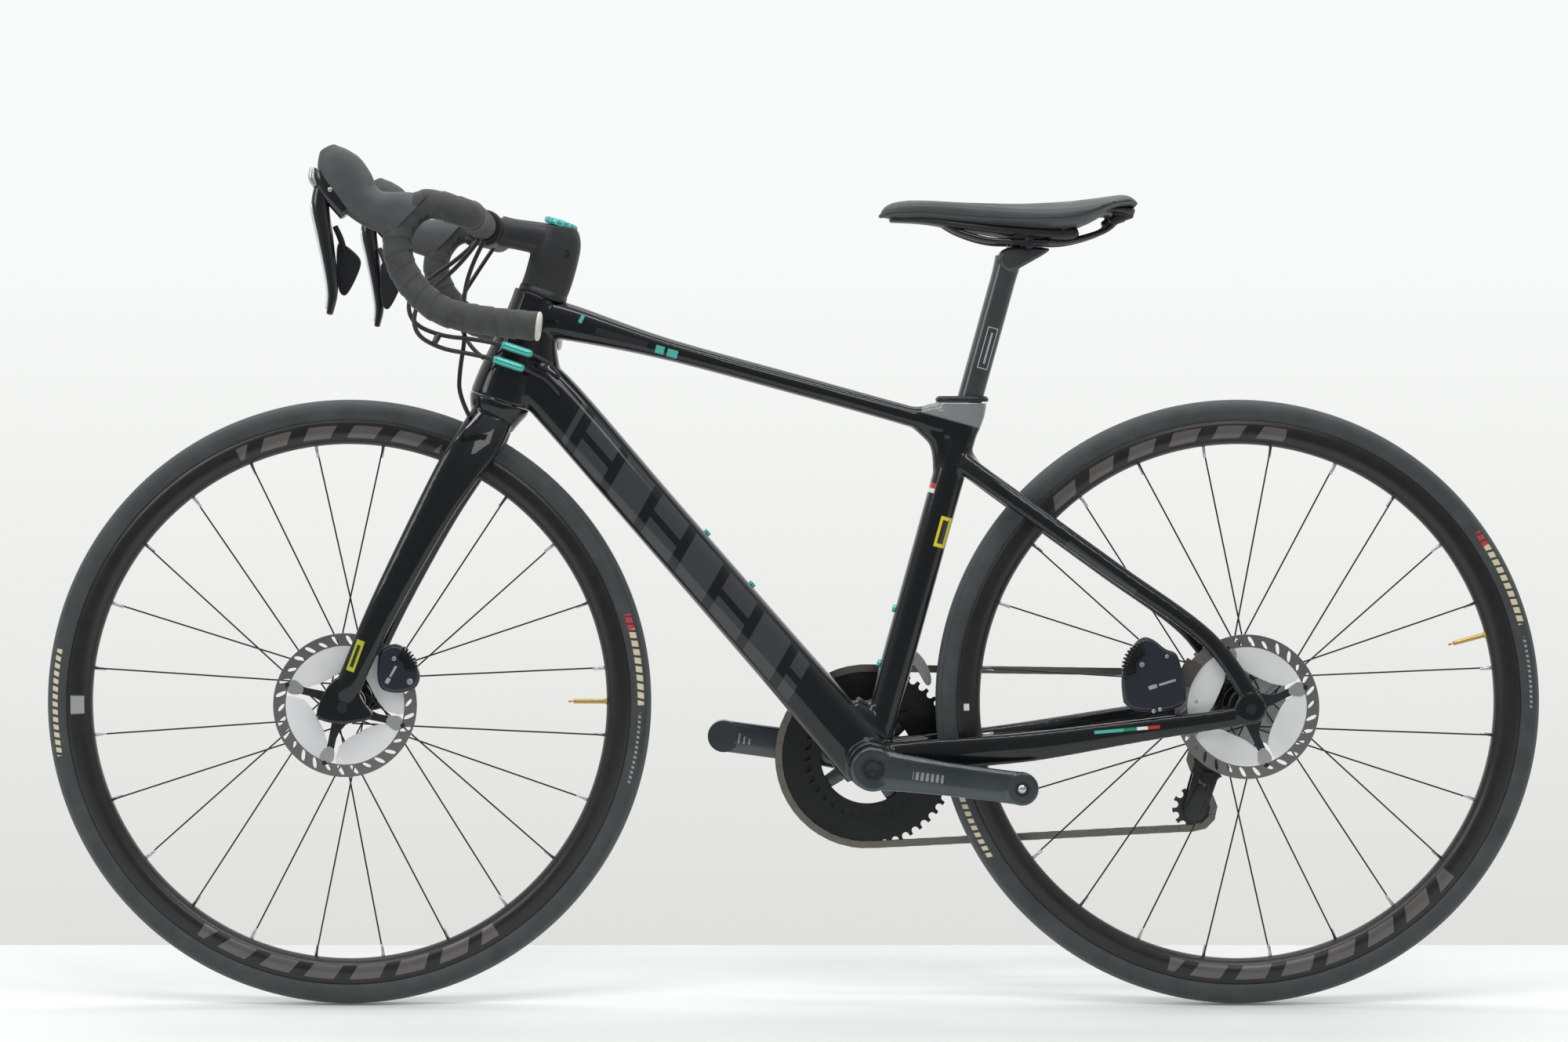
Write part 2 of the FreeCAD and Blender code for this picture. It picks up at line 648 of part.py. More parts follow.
head_tube = tube(
    (on_steerer(CROWN_T - 1), 36, HEAD_FOOT_RADIUS - 2), (on_steerer(CROWN_T + 30, 3), 34, 28),
    (on_steerer(CROWN_T + 75, 1), 28, 25), (on_steerer(HEAD_TOP_T + 1), HEAD_TOP_RADIUS, 24.5), power=2.1,
)
down_tube = tube(
    (DOWN_START, 30, 22), (lerp(DOWN_START, CRANK, 0.25), 30, 25), (lerp(DOWN_START, CRANK, 0.7), 31, 27),
    (lerp(DOWN_START, CRANK, 0.97), 33, 30),
)
top_tube = tube(
    (TOP_START, 21, 20), (lerp(TOP_START, TOP_END, 0.3) - Vector(0, 0, 3), 13.5, 19),
    (lerp(TOP_START, TOP_END, 0.65) - Vector(0, 0, 3), 11.5, 16), (TOP_END, 12, 15),
)
seat_tube = seat_section(18, 16, 6, SEAT_TOP_T - 6)
shell = Part.makeCylinder(size("shell_outer"), 2 * size("shell_half"),
    CRANK - LATERAL * size("shell_half"), LATERAL)
frame_shape = seat_tube.fuse([head_tube, down_tube, top_tube, shell])
steerer_bore = Part.makeCylinder(STEERER + 3.5, 400, on_steerer(CROWN_T - 100), STEER_UP)
bearing_seats = [
    Part.makeCylinder(STEERER + 7, BEARING_HEIGHT + 1, on_steerer(t), STEER_UP)
    for t in (CROWN_T - 1, HEAD_TOP_T - BEARING_HEIGHT)
]
post_bore = seat_section(size("post_depth") + POST_CLEAR, size("post_width") + POST_CLEAR, 300, 400, 2.3)
shell_bore = Part.makeCylinder(size("shell_bore"), 200, CRANK - LATERAL * 100, LATERAL)
crown_room = Part.makeCylinder(CROWN_ROOM, 80, on_steerer(CROWN_T - 80), STEER_UP)
cover_room = Part.makeCylinder(COVER_ROOM, 60, on_steerer(HEAD_TOP_T), STEER_UP)
frame_shape = frame_shape.cut([steerer_bore, post_bore, shell_bore, crown_room,
    cover_room] + bearing_seats)


def stay(side, stations, power=2.4):
    return lofted([(Vector(x, side * y, z), up, wide) for x, y, z, up, wide in stations], power=power)


DROPOUT_INNER = size("rear_hub_width") / 2
DROPOUT_THICK = 7.5
chainstays, seatstays = [], []
for side in (LEFT, RIGHT):
    y_end = DROPOUT_INNER + DROPOUT_THICK / 2
    lower = stay(side, [
        (92, 24, 273, 21, 8), (150, 27, 281, 19, 6.5), (198, 34, 287, 17, 6.5), (271, 48, 296, 16, 7.5),
        (378, 63, 314, 12.5, 6.5),
        (455, 71, 328, 10.5, 5.5), (492, y_end, 336, 11, 3.6),
    ])
    eye = Part.makeCylinder(17, DROPOUT_THICK, REAR + LATERAL * (side * y_end - DROPOUT_THICK / 2),
        LATERAL)
    axle_hole = centred(size("hub_axle"), 200, REAR)
    wheel_room = Part.makeCylinder(72, 2 * DROPOUT_INNER, REAR - LATERAL * DROPOUT_INNER, LATERAL)
    lower = lower.fuse(eye).cut([axle_hole, wheel_room, frame_shape, shell_bore])
    chainstays.append(feature(f"chainstay_{'left' if side == LEFT else 'right'}", lower))
    upper = stay(side, [
        (176, 12, 617, 11, 7), (205, 21, 597, 10.5, 7), (262, 33, 552, 10, 6.5), (356, 47, 484, 9.5, 6),
        (440, 62, 420, 9, 5.5), (497, y_end, 357, 9, 3.7),
    ])
    upper = upper.cut([axle_hole, wheel_room, frame_shape, lower])
    upper = max(upper.Solids, key=lambda s: s.Volume)
    seatstays.append(feature(f"seatstay_{'left' if side == LEFT else 'right'}", upper))
node("main_frame", feature("main_frame", frame_shape.removeSplitter()))
node("chainstays", *chainstays)
node("seatstays", *seatstays)

bearings = [
    tube_shape(STEERER + 7, STEERER + 0.3, BEARING_HEIGHT, on_steerer(t), STEER_UP)
    for t in (CROWN_T, HEAD_TOP_T - BEARING_HEIGHT)
]
bearings += [
    tube_shape(size("shell_bore"), size("spindle_outer") + 0.3, 14,
               CRANK + LATERAL * (side * (size("shell_half") - 7) - 7))
    for side in (LEFT, RIGHT)
]
node("frame_bearings", *[feature(f"frame_bearing_{i}", b) for i, b in enumerate(bearings)])
collar = seat_section(27, 20, SEAT_TOP_T - 30, 30, 3).translated(SEAT_BACK * -8).cut([seat_section(18, 16,
    300, 200), frame_shape, post_bore])
collar = collar.cut([s.Shape for s in seatstays])
node("seat_clamp", feature("seat_clamp", max(collar.Solids, key=lambda s: s.Volume)))

bottle_bolts, bolt_places = [], []
down_along = (CRANK - DOWN_START).normalize()
down_normal = LATERAL.cross(down_along) * -1
down_normal = down_normal if down_normal.z > 0 else down_normal * -1
for share in (0.44, 0.577):
    bolt_places.append((lerp(DOWN_START, CRANK, share), down_normal, 30.6))
for t in (110, 174):
    bolt_places.append((on_seat_tube(t), SEAT_BACK * -1, 18))
for i, (at, out, depth) in enumerate(bolt_places):
    head = Part.makeCylinder(4.2, 3.4, at + out * (depth - 0.4),
        out).cut(Part.makeCylinder(2, 3, at + out * (depth + 1), out))
    bottle_bolts.append(feature(f"bottle_bolt_{i}", head.cut(frame_shape)))
node("bottle_bolts", *bottle_bolts)

# ---------------------------------------------------------------- fork, stem and handlebar
CROWN_GAP = 0.5
STEM_T = 561
TOP_CAP_T = 590
fork_parts = [
    Part.makeCylinder(STEERER, TOP_CAP_T - 4 - 350, on_steerer(350), STEER_UP),
    lofted([(on_steerer(350, 1), 29, 27), (on_steerer(362, 2), 35, 29),
        (on_steerer(CROWN_T - CROWN_GAP, 2), 36, 30)],
           power=2.1),
]
FORK_INNER = size("front_hub_width") / 2
FORK_THICK = 11
for side in (LEFT, RIGHT):
    blade = stay(side, [
        (-337, 14, 662, 24, 12), (-352, 29, 634, 26, 10), (-375, 41, 600, 24, 8.5),
            (-408, 50, 542, 20, 8.5),
        (-456, 57, 448, 16.5, 7.5), (-489, 58, 374, 14.5, 6), (-500, 56, 344, 15, 5.5),
    ])
    eye = Part.makeCylinder(19, FORK_THICK,
        FRONT + LATERAL * (side * (FORK_INNER + FORK_THICK / 2) - FORK_THICK / 2),
                            LATERAL)
    fork_parts += [blade, eye]
fork_shape = fork_parts[0].fuse(fork_parts[1:])
wheel_room = [
    Part.makeCylinder(size("tyre_outer") + 4, 36, FRONT - LATERAL * 18, LATERAL),
    Part.makeCylinder(60, 2 * FORK_INNER, FRONT - LATERAL * FORK_INNER, LATERAL),
]
fork_shape = fork_shape.cut(wheel_room + [centred(size("hub_axle"), 200, FRONT)])
node("fork", feature("fork", fork_shape.removeSplitter()))

BAR_CENTRE = on_steerer(STEM_T) + Vector(
    -size("stem_length") * math.cos(math.radians(size("stem_rise"))), 0,
    size("stem_length") * math.sin(math.radians(size("stem_rise"))),
)
BAR_R, CLAMP_R, TAPE_R = size("bar_radius"), size("bar_clamp_radius"), size("tape_radius")
COVER_T = (HEAD_TOP_T + 0.4, HEAD_TOP_T + 12)
steerer_hole = Part.makeCylinder(STEERER, 400, on_steerer(300), STEER_UP)
stem_body = lofted([(on_steerer(COVER_T[1]), 24.2, 23.5), (on_steerer(TOP_CAP_T - 8), 24.2, 23)],
    power=2.2)
neck = lofted([
    (on_steerer(STEM_T - 4, -6), 17, 17), (lerp(on_steerer(STEM_T - 4), BAR_CENTRE, 0.55), 15, 16),
    (lerp(on_steerer(STEM_T), BAR_CENTRE, 0.86), 16, 20),
], power=3)
clamp = centred(21.5, 21, BAR_CENTRE)
stem_out = (BAR_CENTRE - on_steerer(STEM_T)).normalize()
bar_hole = centred(CLAMP_R, 60, BAR_CENTRE)
front_side = Part.makeCylinder(60, 60, BAR_CENTRE + stem_out, stem_out)
rear_side = Part.makeCylinder(60, 120, BAR_CENTRE + stem_out * 2, stem_out * -1)
stem_shape = stem_body.fuse([neck, clamp]).cut([bar_hole, steerer_hole, front_side])
node("stem", feature("stem", stem_shape.removeSplitter()))
plate = clamp.cut([bar_hole, rear_side])
node("stem_faceplate", feature("stem_faceplate", max(plate.Solids, key=lambda s: s.Volume)))
cover = lofted([(on_steerer(COVER_T[0]), 25, 24.5), (on_steerer(COVER_T[1]), 24.2, 23.5)], power=2.2)
cap = Part.makeCylinder(17, 4.5, on_steerer(TOP_CAP_T - 4), STEER_UP)
cap_bolt = Part.makeCylinder(4, 3, on_steerer(TOP_CAP_T + 0.5), STEER_UP)
cap_ring = Part.makeCylinder(22, 4, on_steerer(TOP_CAP_T - 8), STEER_UP).cut(steerer_hole)
node(
    "headset_covers", feature("headset_cover", cover.cut(steerer_hole)),
    feature("stem_top_cap", cap.fuse([cap_ring, cap_bolt]).removeSplitter()),
)

BAR_SIDE = [
    (-345.4, -172, 872), (-353, -197, 876), (-397, -203, 884), (-422, -202, 852), (-415, -204, 812),
    (-380, -208, 775), (-330, -210, 762), (-276, -212, 756),
]


def other_side(points):
    return [(x, -y, z) for x, y, z in points]


bar_route = BAR_SIDE[::-1] + other_side(BAR_SIDE)
bar_shape = cord_tube(bar_route, BAR_R).fuse(centred(CLAMP_R, 34, BAR_CENTRE)).removeSplitter()
node("handlebar", feature("handlebar", bar_shape))
TAPE_START = 62


def tape(side):
    route = [(-345.4, -TAPE_START, 871.9)] + BAR_SIDE
    route = route if side == LEFT else other_side(route)
    return cord_tube(route, TAPE_R).cut(bar_shape)


tapes = {side: tape(side) for side in (LEFT, RIGHT)}
node("bar_tape", *[feature(f"bar_tape_{i}", tapes[side]) for i, side in enumerate((LEFT, RIGHT))])
end_dir = (Vector(*BAR_SIDE[-1]) - Vector(*BAR_SIDE[-2])).normalize()
plug = Part.makeCylinder(TAPE_R - 0.3, 4.5, Vector(*BAR_SIDE[-1]), end_dir)
node("bar_end_plugs", feature("bar_end_plug_0", plug), feature("bar_end_plug_1", mirrored(plug)))

HOOD_Y = 202
hood_stations = [
    (-404, HOOD_Y, 874, 27, 17), (-445, HOOD_Y, 879, 21, 16), (-469, HOOD_Y, 898, 22, 15),
        (-485, HOOD_Y, 919, 24, 14),
    (-499, HOOD_Y, 936, 15, 11), (-503, HOOD_Y, 943, 6, 6),
]
LEVER_PIVOT = Vector(-497, 0, 902)
lever_stations = [
    (-499, HOOD_Y, 912, 7, 6.5), (-504, HOOD_Y, 880, 6, 8), (-496, HOOD_Y, 850, 5.2, 9),
        (-491, HOOD_Y, 812, 4.6, 8.5),
    (-490, HOOD_Y, 790, 4.2, 7.5), (-494, HOOD_Y, 769, 2.8, 5.5),
]
hoods, levers, paddles = [], {}, {}
for side in (LEFT, RIGHT):
    lever = stay(side, lever_stations, power=2.6)
    boss = centred(6, 7.5, LEVER_PIVOT + LATERAL * (side * HOOD_Y))
    lever = lever.fuse(boss)
    room = Part.makeBox(60, 19, 80, Vector(-530, side * HOOD_Y - 9.5, 835))
    pin = centred(2.2, 15, LEVER_PIVOT + LATERAL * (side * HOOD_Y))
    hood = stay(side, hood_stations, power=2.6).cut([tapes[side], bar_shape])
    nose = room.common(Part.makeCylinder(19, 40, Vector(LEVER_PIVOT.x - 3, side * HOOD_Y - 20,
        LEVER_PIVOT.z - 3), LATERAL))
    hood = hood.cut([nose, pin])
    hoods.append(feature(f"lever_hood_{side}", max(hood.Solids, key=lambda s: s.Volume)))
    levers[side] = lever.cut(centred(2.5, 20, LEVER_PIVOT + LATERAL * (side * HOOD_Y)))
    y = side * (HOOD_Y - 13) - 1.25
    paddle = rounded_plate([(-478, 844), (-478, 790), (-466, 826)], [5, 4, 5], 2.5, y)
    stalk = rounded_plate([(-492, 858), (-478, 842)], [4, 4], 2.5, y)
    paddles[side] = paddle.fuse(stalk).removeSplitter()
for side in (LEFT, RIGHT):
    hoods.append(feature(f"lever_pin_{side}", centred(2.2, 15, LEVER_PIVOT + LATERAL * (side * HOOD_Y))))
node("lever_hoods", *hoods)
for side, name in ((LEFT, "left"), (RIGHT, "right")):
    node(f"brake_lever_{name}", feature(f"brake_lever_{name}", levers[side]))
    node(f"shift_paddle_{name}", feature(f"shift_paddle_{name}", paddles[side]))

# ---------------------------------------------------------------- saddle and seatpost
POST_TOP_T = 588
post = Part.Face(section(on_seat_tube(330), SEAT_BACK, LATERAL, size("post_depth"), size("post_width"),
    2.3)).extrude(
    SEAT_UP * (POST_TOP_T - 330))
RAIL_Z = 858
CLAMP_CENTRE = Vector(263, 0, RAIL_Z)
RAIL_RADIUS = 3.5
head_loft = lofted([(on_seat_tube(POST_TOP_T - 14), 14, 13), (on_seat_tube(POST_TOP_T + 1, 7), 16, 14),
                    (CLAMP_CENTRE + Vector(0, 0, -12), 20, 16)], power=2.4)
saddle_rails = []
for side in (LEFT, RIGHT):
    route = [(158, side * 8, 884), (186, side * 13, 868), (222, side * 20, RAIL_Z),
        (305, side * 22, RAIL_Z - 1),
             (345, side * 27, 868), (362, side * 30, 882)]
    saddle_rails.append(cord_tube(route, RAIL_RADIUS))
seatpost_shape = post.fuse(head_loft).removeSplitter().cut(saddle_rails)
node("seatpost", feature("seatpost", seatpost_shape))
clamp_block = Part.makeBox(46, 58, 15, CLAMP_CENTRE + Vector(-23, -29,
    -8)).cut(saddle_rails + [seatpost_shape])
clamp_block = clamp_block.cut(Part.makeBox(60, 26, 30, CLAMP_CENTRE + Vector(-30, -13, 0.5)))
node("rail_clamp", feature("rail_clamp", max(clamp_block.Solids, key=lambda s: s.Volume)))
saddle = lofted([
    (Vector(99, 0, 889), 5, 9), (Vector(108, 0, 892), 9, 16), (Vector(150, 0, 894.5), 11, 19),
    (Vector(200, 0, 893.5), 11.5, 26), (Vector(250, 0, 889), 14, 43), (Vector(300, 0, 886), 17, 62),
    (Vector(345, 0, 889), 17, 71), (Vector(370, 0, 894), 12, 66), (Vector(380, 0, 896), 6, 50),
], power=2.5)
under = lofted([
    (Vector(90, 0, 879), 6, 12), (Vector(150, 0, 881), 6, 17), (Vector(200, 0, 880), 6, 24),
    (Vector(250, 0, 873), 8, 40), (Vector(300, 0, 866), 10, 58), (Vector(345, 0, 871), 10, 66),
    (Vector(395, 0, 880), 8, 60),
], power=2.5)
cover_shape = saddle.cut(under)
cover_shape = max(cover_shape.Solids, key=lambda s: s.Volume)
node("saddle_cover", feature("saddle_cover", cover_shape))
base = lofted([
    (Vector(112, 0, 882), 4, 13), (Vector(150, 0, 884), 4, 15), (Vector(200, 0, 883), 4, 22),
    (Vector(250, 0, 877.5), 4, 37), (Vector(300, 0, 873), 4, 53), (Vector(345, 0, 877.5), 4, 58),
    (Vector(365, 0, 885), 4, 50),
], power=2.5).cut([cover_shape] + saddle_rails)
node("saddle_shell", feature("saddle_shell", max(base.Solids, key=lambda s: s.Volume)))
rail_solids = [r.cut(cover_shape) for r in saddle_rails]
node("saddle_rails", *[
    feature(f"saddle_rail_{i}", max(r.Solids, key=lambda s: s.Volume)) for i, r in enumerate(rail_solids)
])

# ---------------------------------------------------------------- disc brakes
PAD_GAP, PAD_THICK = 0.35, 2.6
CALIPER_RADIAL, CALIPER_LONG = (59, 97), 60


def caliper(name, centre, y, angle, outer, inner, keep_out):
    """A caliper round the rotor at an angle about the axle, and its two pads beside the rotor."""
    at = polar(centre, 0, 0, y)
    out = polar(Vector(), 1, angle)
    turn = Rotation(LATERAL, -angle)

    def block(radial, half_long, low, high):
        made = Part.makeBox(radial[1] - radial[0], high - low, 2 * half_long,
            Vector(radial[0], low, -half_long))
        made.Placement = Placement(at, turn)
        return made

    body = block(CALIPER_RADIAL, CALIPER_LONG / 2, -outer, inner)
    slot = block((0, 84), 80, -1.9, 1.9)
    chamber = block((58, 86), 16, -4.4, 4.4)
    body = body.cut([slot, chamber] + keep_out)
    node(f"{name}_caliper", feature(f"{name}_caliper", max(body.Solids, key=lambda s: s.Volume)))
    near = size("rotor_half") + PAD_GAP
    for side, word in ((LEFT, "left"), (RIGHT, "right")):
        low, high = sorted((side * near, side * (near + PAD_THICK)))
        pad = block((66.5, 83.5), 14, low, high)
        node(f"{name}_pad_{word}", feature(f"{name}_pad_{word}", pad))


caliper("front", FRONT, FRONT_ROTOR_Y, 38, 18, 13, [fork_shape])
caliper("rear", REAR, REAR_ROTOR_Y, 150, 15, 14,
    [c.Shape for c in chainstays] + [s.Shape for s in seatstays])

# ---------------------------------------------------------------- derailleurs
HANGER = Vector(511, DROPOUT_INNER + DROPOUT_THICK / 2, 316)
CAGE_PIVOT = Vector(GUIDE.x, 84, GUIDE.z)
LINK_LENGTH = 50
link_run = Vector(-0.985, 0, -0.17).normalize()
link_drop = Vector(0.17, 0, -0.985).normalize()
LINK_SLANT = math.radians(42)
link_way = LATERAL * -math.cos(LINK_SLANT) + link_drop * math.sin(LINK_SLANT)
LINK_END = CAGE_PIVOT
KNUCKLE_PIVOT = LINK_END - link_run * LINK_LENGTH
hanger = rounded_plate([(REAR.x + 6, REAR.z - 14), (HANGER.x + 2, HANGER.z - 6)], [7, 9], 6,
    DROPOUT_INNER + 1)
hanger = hanger.cut([c.Shape for c in chainstays] + [centred(size("hub_axle"), 200, REAR)])
knuckle = Part.makeCylinder(9, 18, Vector(HANGER.x + 2, DROPOUT_INNER + 7.2, HANGER.z - 6), LATERAL)
arm = bar(Vector(HANGER.x + 2, 86, HANGER.z - 6), KNUCKLE_PIVOT + Vector(8, 1, 3), 6.5)
hanger = max(hanger.Solids, key=lambda s: s.Volume)
knuckle = knuckle.fuse(arm).removeSplitter().cut(hanger)
node("derailleur_hanger", feature("frame_hanger", hanger), feature("upper_knuckle", knuckle))


def link_bar(start_gap, across, half):
    """A parallelogram link between the knuckles, offset along the pins' plane."""
    start, end = KNUCKLE_PIVOT + link_run * start_gap + across, LINK_END - link_run * start_gap + across
    return lofted([(start, half, 2.5), (end, half, 2.5)], power=3, across=link_way)


LINK_OFFSET = 9
outer_link = link_bar(5, link_way * -LINK_OFFSET * 0.5, 9)
inner_link = link_bar(5, link_way * LINK_OFFSET * 0.5, 7)
node("derailleur_outer_link", feature("derailleur_outer_link", outer_link))
node("derailleur_inner_link", feature("derailleur_inner_link", inner_link))
end_knuckle = Part.makeCylinder(10, 9.5, Vector(GUIDE.x, CHAIN_Y + 7.5, GUIDE.z), LATERAL)
node("derailleur_cage_knuckle", feature("derailleur_cage_knuckle", end_knuckle))
CAGE_HALF, CAGE_PLATE = 5.2, 1.8
PULLEY_BOLT = 2.6
cage_discs = [(GUIDE.x, GUIDE.z), (TENSION.x, TENSION.z)]
cage_parts = []
for side in (LEFT, RIGHT):
    low = CHAIN_Y + side * (CAGE_HALF + CAGE_PLATE / 2) - CAGE_PLATE / 2
    cage_parts.append(rounded_plate(cage_discs, [15, 13], CAGE_PLATE, low))
    window = rounded_plate([(474, 246), (468, 233)], [6, 6], CAGE_PLATE + 2, low - 1)
    cage_parts[-1] = cage_parts[-1].cut(window)
pulley_bolts = [centred(PULLEY_BOLT, CAGE_HALF + CAGE_PLATE, c) for c in (GUIDE, TENSION)]
node("derailleur_cage", feature("derailleur_cage",
    cage_parts[0].fuse(cage_parts[1:] + pulley_bolts).removeSplitter()))
for name, at, gap in (("guide_pulley", GUIDE, GUIDE_GAP), ("tension_pulley", TENSION, TENSION_GAP)):
    pulley = sprocket(int(size("pulley_teeth")), at, CHAIN_Y, 0.9, PULLEY_BOLT + 0.3, gap, rollers)
    node(name, feature(name, pulley))

FRONT_MECH_Y = size("big_ring_side") + 0.5
mech_body = Part.makeBox(26, 13.6, 34, Vector(113, 17, 388)).cut(frame_shape)
node("front_derailleur_body", feature("front_derailleur_body", max(mech_body.Solids,
    key=lambda s: s.Volume)))
mech_plates = []
for low, thick, z_low in ((FRONT_MECH_Y - 9.5, 1.6, 380), (FRONT_MECH_Y + 8, 1.6, 379)):
    mech_plates.append(rounded_plate([(92, z_low + 12), (150, z_low + 6), (150, z_low + 16),
        (96, z_low + 22)],
                                     [8, 6, 6, 5], thick, low))
bridge = Part.makeBox(22, 19.1, 3, Vector(104, FRONT_MECH_Y - 9.5, 401))
mech_cage = mech_plates[0].fuse([mech_plates[1], bridge]).removeSplitter()
node("front_derailleur_cage", feature("front_derailleur_cage", mech_cage))

# ---------------------------------------------------------------- cables
HOSE = size("hose_radius")
ADJUSTER_RADIUS, ADJUSTER_LENGTH = 4, 34
UPPER_ADJUSTER = (Vector(-325, -44, 741), Vector(-292, -40, 730))
LOWER_ADJUSTER = (Vector(-334, -47, 725), Vector(-301, -43, 714))
CORDS = {
    "front_brake_hose": [(-343, -66, 855), (-358, -62, 828), (-368, -52, 790), (-366, -40, 750),
        (-373, -35, 712),
                         (-374, -33, 684), (-362, -29, 660)],
    "upper_shift_housing": [(-348, -80, 855), (-368, -83, 835), (-402, -82, 812), (-427, -74, 792),
        (-424, -62, 764),
                            (-392, -52, 750), (-355, -47, 747), (-325, -44, 741)],
    "lower_shift_housing": [(-346, -92, 855), (-362, -95, 832), (-392, -94, 805), (-418, -84, 782),
        (-420, -70, 752),
                            (-392, -58, 736), (-362, -52, 731), (-334, -47, 725)],
    "rear_brake_hose": [(-343, 66, 855), (-362, 70, 828), (-385, 66, 790), (-376, 52, 748),
        (-345, 43, 720),
                        (-305, 36, 702), (-272, 24, 690)],
}


def bend_radii(route):
    points = [Vector(*p) for p in route]
    radii = []
    for before, at, after in zip(points, points[1:], points[2:]):
        back, ahead = before - at, after - at
        turn = math.pi - back.getAngle(ahead)
        radii.append(0.45 * min(back.Length, ahead.Length) / math.tan(turn / 2))
    return radii


cords = {}
for name, route in CORDS.items():
    solid = cord_tube(route, HOSE)
    print(name, "bend radii", [round(r) for r in bend_radii(route)])
    solid = solid.cut([frame_shape, fork_shape] + list(tapes.values()))
    cords[name] = feature(name, max(solid.Solids, key=lambda s: s.Volume))
node("front_brake_hose", cords["front_brake_hose"])
node("rear_brake_hose", cords["rear_brake_hose"])
node("shift_housings", cords["upper_shift_housing"], cords["lower_shift_housing"])

adjusters = []
for start, end in (UPPER_ADJUSTER, LOWER_ADJUSTER):
    run = (end - start).normalize()
    start = start + run * 0.6
    screw = Part.makeCylinder(ADJUSTER_RADIUS, ADJUSTER_LENGTH * 0.6, start, run)
    sleeve = Part.makeCylinder(ADJUSTER_RADIUS - 1, ADJUSTER_LENGTH * 0.4,
        start + run * ADJUSTER_LENGTH * 0.6, run)
    adjusters.append(feature("cable_adjuster_" + str(len(adjusters)),
        screw.fuse(sleeve).removeSplitter()))
for (start, end), port in ((UPPER_ADJUSTER, Vector(-262, -24, 706)),
    (LOWER_ADJUSTER, Vector(-262, -22, 684))):
    begin = start + (end - start).normalize() * (ADJUSTER_LENGTH + 1.4)
    wire = bar(begin, port, 1.5).cut(frame_shape)
    adjusters.append(feature("shift_cable_" + str(len(adjusters)),
        max(wire.Solids, key=lambda s: s.Volume)))
node("cable_adjusters", *adjusters)
rear_loop = [(470, 71, 326), (492, 80, 322), (528, 86, 322), (548, 86, 308), (540, 86, 290),
    (528, 85, 283)]
solid = cord_tube(rear_loop, HOSE).cut([knuckle, chainstays[1].Shape, hanger])
print("rear_shift_housing bend radii", [round(r) for r in bend_radii(rear_loop)])
node("rear_shift_housing", feature("rear_shift_housing", max(solid.Solids, key=lambda s: s.Volume)))

# ---------------------------------------------------------------- checks and files
doc.recompute()
for made in doc.Objects:
    assert not {"Invalid", "Error"} & set(made.State), f"{made.Label} failed: {made.State}"
os.makedirs("parts", exist_ok=True)
labels = [made.Label for made in nodes]
assert len(set(labels)) == len(labels), "two sub-parts share a name"
for made in nodes:
    shape = made.Shape
    assert not shape.isNull() and shape.isValid() and shape.Volume > 0, f"{made.Label} isn't a valid solid"
    shape.exportStep(f"parts/{made.Label}.step")
print(len(nodes), "sub-parts written")
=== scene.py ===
"""Road bicycle: the visible pieces and their materials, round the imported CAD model.

Lengths are in millimetres in the model's own frame, and each mesh is made in metres.
"""
import json
import math

import bmesh
import bpy
import numpy as np
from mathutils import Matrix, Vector


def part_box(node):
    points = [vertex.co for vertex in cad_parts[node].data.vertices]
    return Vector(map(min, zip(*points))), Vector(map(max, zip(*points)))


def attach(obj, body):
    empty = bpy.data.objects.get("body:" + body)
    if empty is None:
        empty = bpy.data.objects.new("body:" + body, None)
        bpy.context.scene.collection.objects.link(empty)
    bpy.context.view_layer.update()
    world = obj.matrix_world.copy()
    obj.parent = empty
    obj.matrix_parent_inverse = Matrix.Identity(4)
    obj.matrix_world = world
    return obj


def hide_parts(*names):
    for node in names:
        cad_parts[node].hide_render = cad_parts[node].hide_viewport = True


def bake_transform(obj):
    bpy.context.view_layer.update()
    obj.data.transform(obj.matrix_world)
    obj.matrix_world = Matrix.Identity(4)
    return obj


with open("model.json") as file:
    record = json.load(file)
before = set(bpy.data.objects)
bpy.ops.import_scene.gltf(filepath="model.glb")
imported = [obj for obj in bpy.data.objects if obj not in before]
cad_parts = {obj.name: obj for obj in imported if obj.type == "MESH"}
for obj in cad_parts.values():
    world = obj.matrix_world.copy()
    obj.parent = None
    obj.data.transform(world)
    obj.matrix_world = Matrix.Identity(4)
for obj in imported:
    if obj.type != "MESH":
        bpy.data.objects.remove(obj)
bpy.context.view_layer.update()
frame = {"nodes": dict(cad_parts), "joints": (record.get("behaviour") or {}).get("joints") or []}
nodes = frame["nodes"]
joints = {j["name"]: j for j in frame["joints"]}
MM = 0.001
LEFT, RIGHT = -1, 1
LATERAL = np.array([0.0, 1.0, 0.0])
LEVER_Y = 202
ARM_LENGTH = 165
SPOKES = 24
CAP_TEETH = 14


# ------------------------------------------------------------ places, from the model
def joint_at(name):
    return np.array(joints[name]["pos_m"]) * 1000


def box(node):
    low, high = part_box(node)
    return np.array(low) * 1000, np.array(high) * 1000


def middle(node):
    low, high = box(node)
    return (low + high) / 2


FRONT, REAR, CRANK = joint_at("front_wheel_spin"), joint_at("rear_wheel_spin"), joint_at("crank_spin")
STEER_FOOT = joint_at("steering")
STEER_UP = np.array(joints["steering"]["axis"])
STEER_BACK = np.array([STEER_UP[2], 0, -STEER_UP[0]])
SEAT_UP = np.array(joints["seatpost_height"]["axis"])
SEAT_BACK = np.array([SEAT_UP[2], 0, -SEAT_UP[0]])
TYRE_OUTER = (box("front_tyre")[1] - box("front_tyre")[0])[2] / 2
FRONT_ROTOR_Y, REAR_ROTOR_Y = middle("front_rotor")[1], middle("rear_rotor")[1]


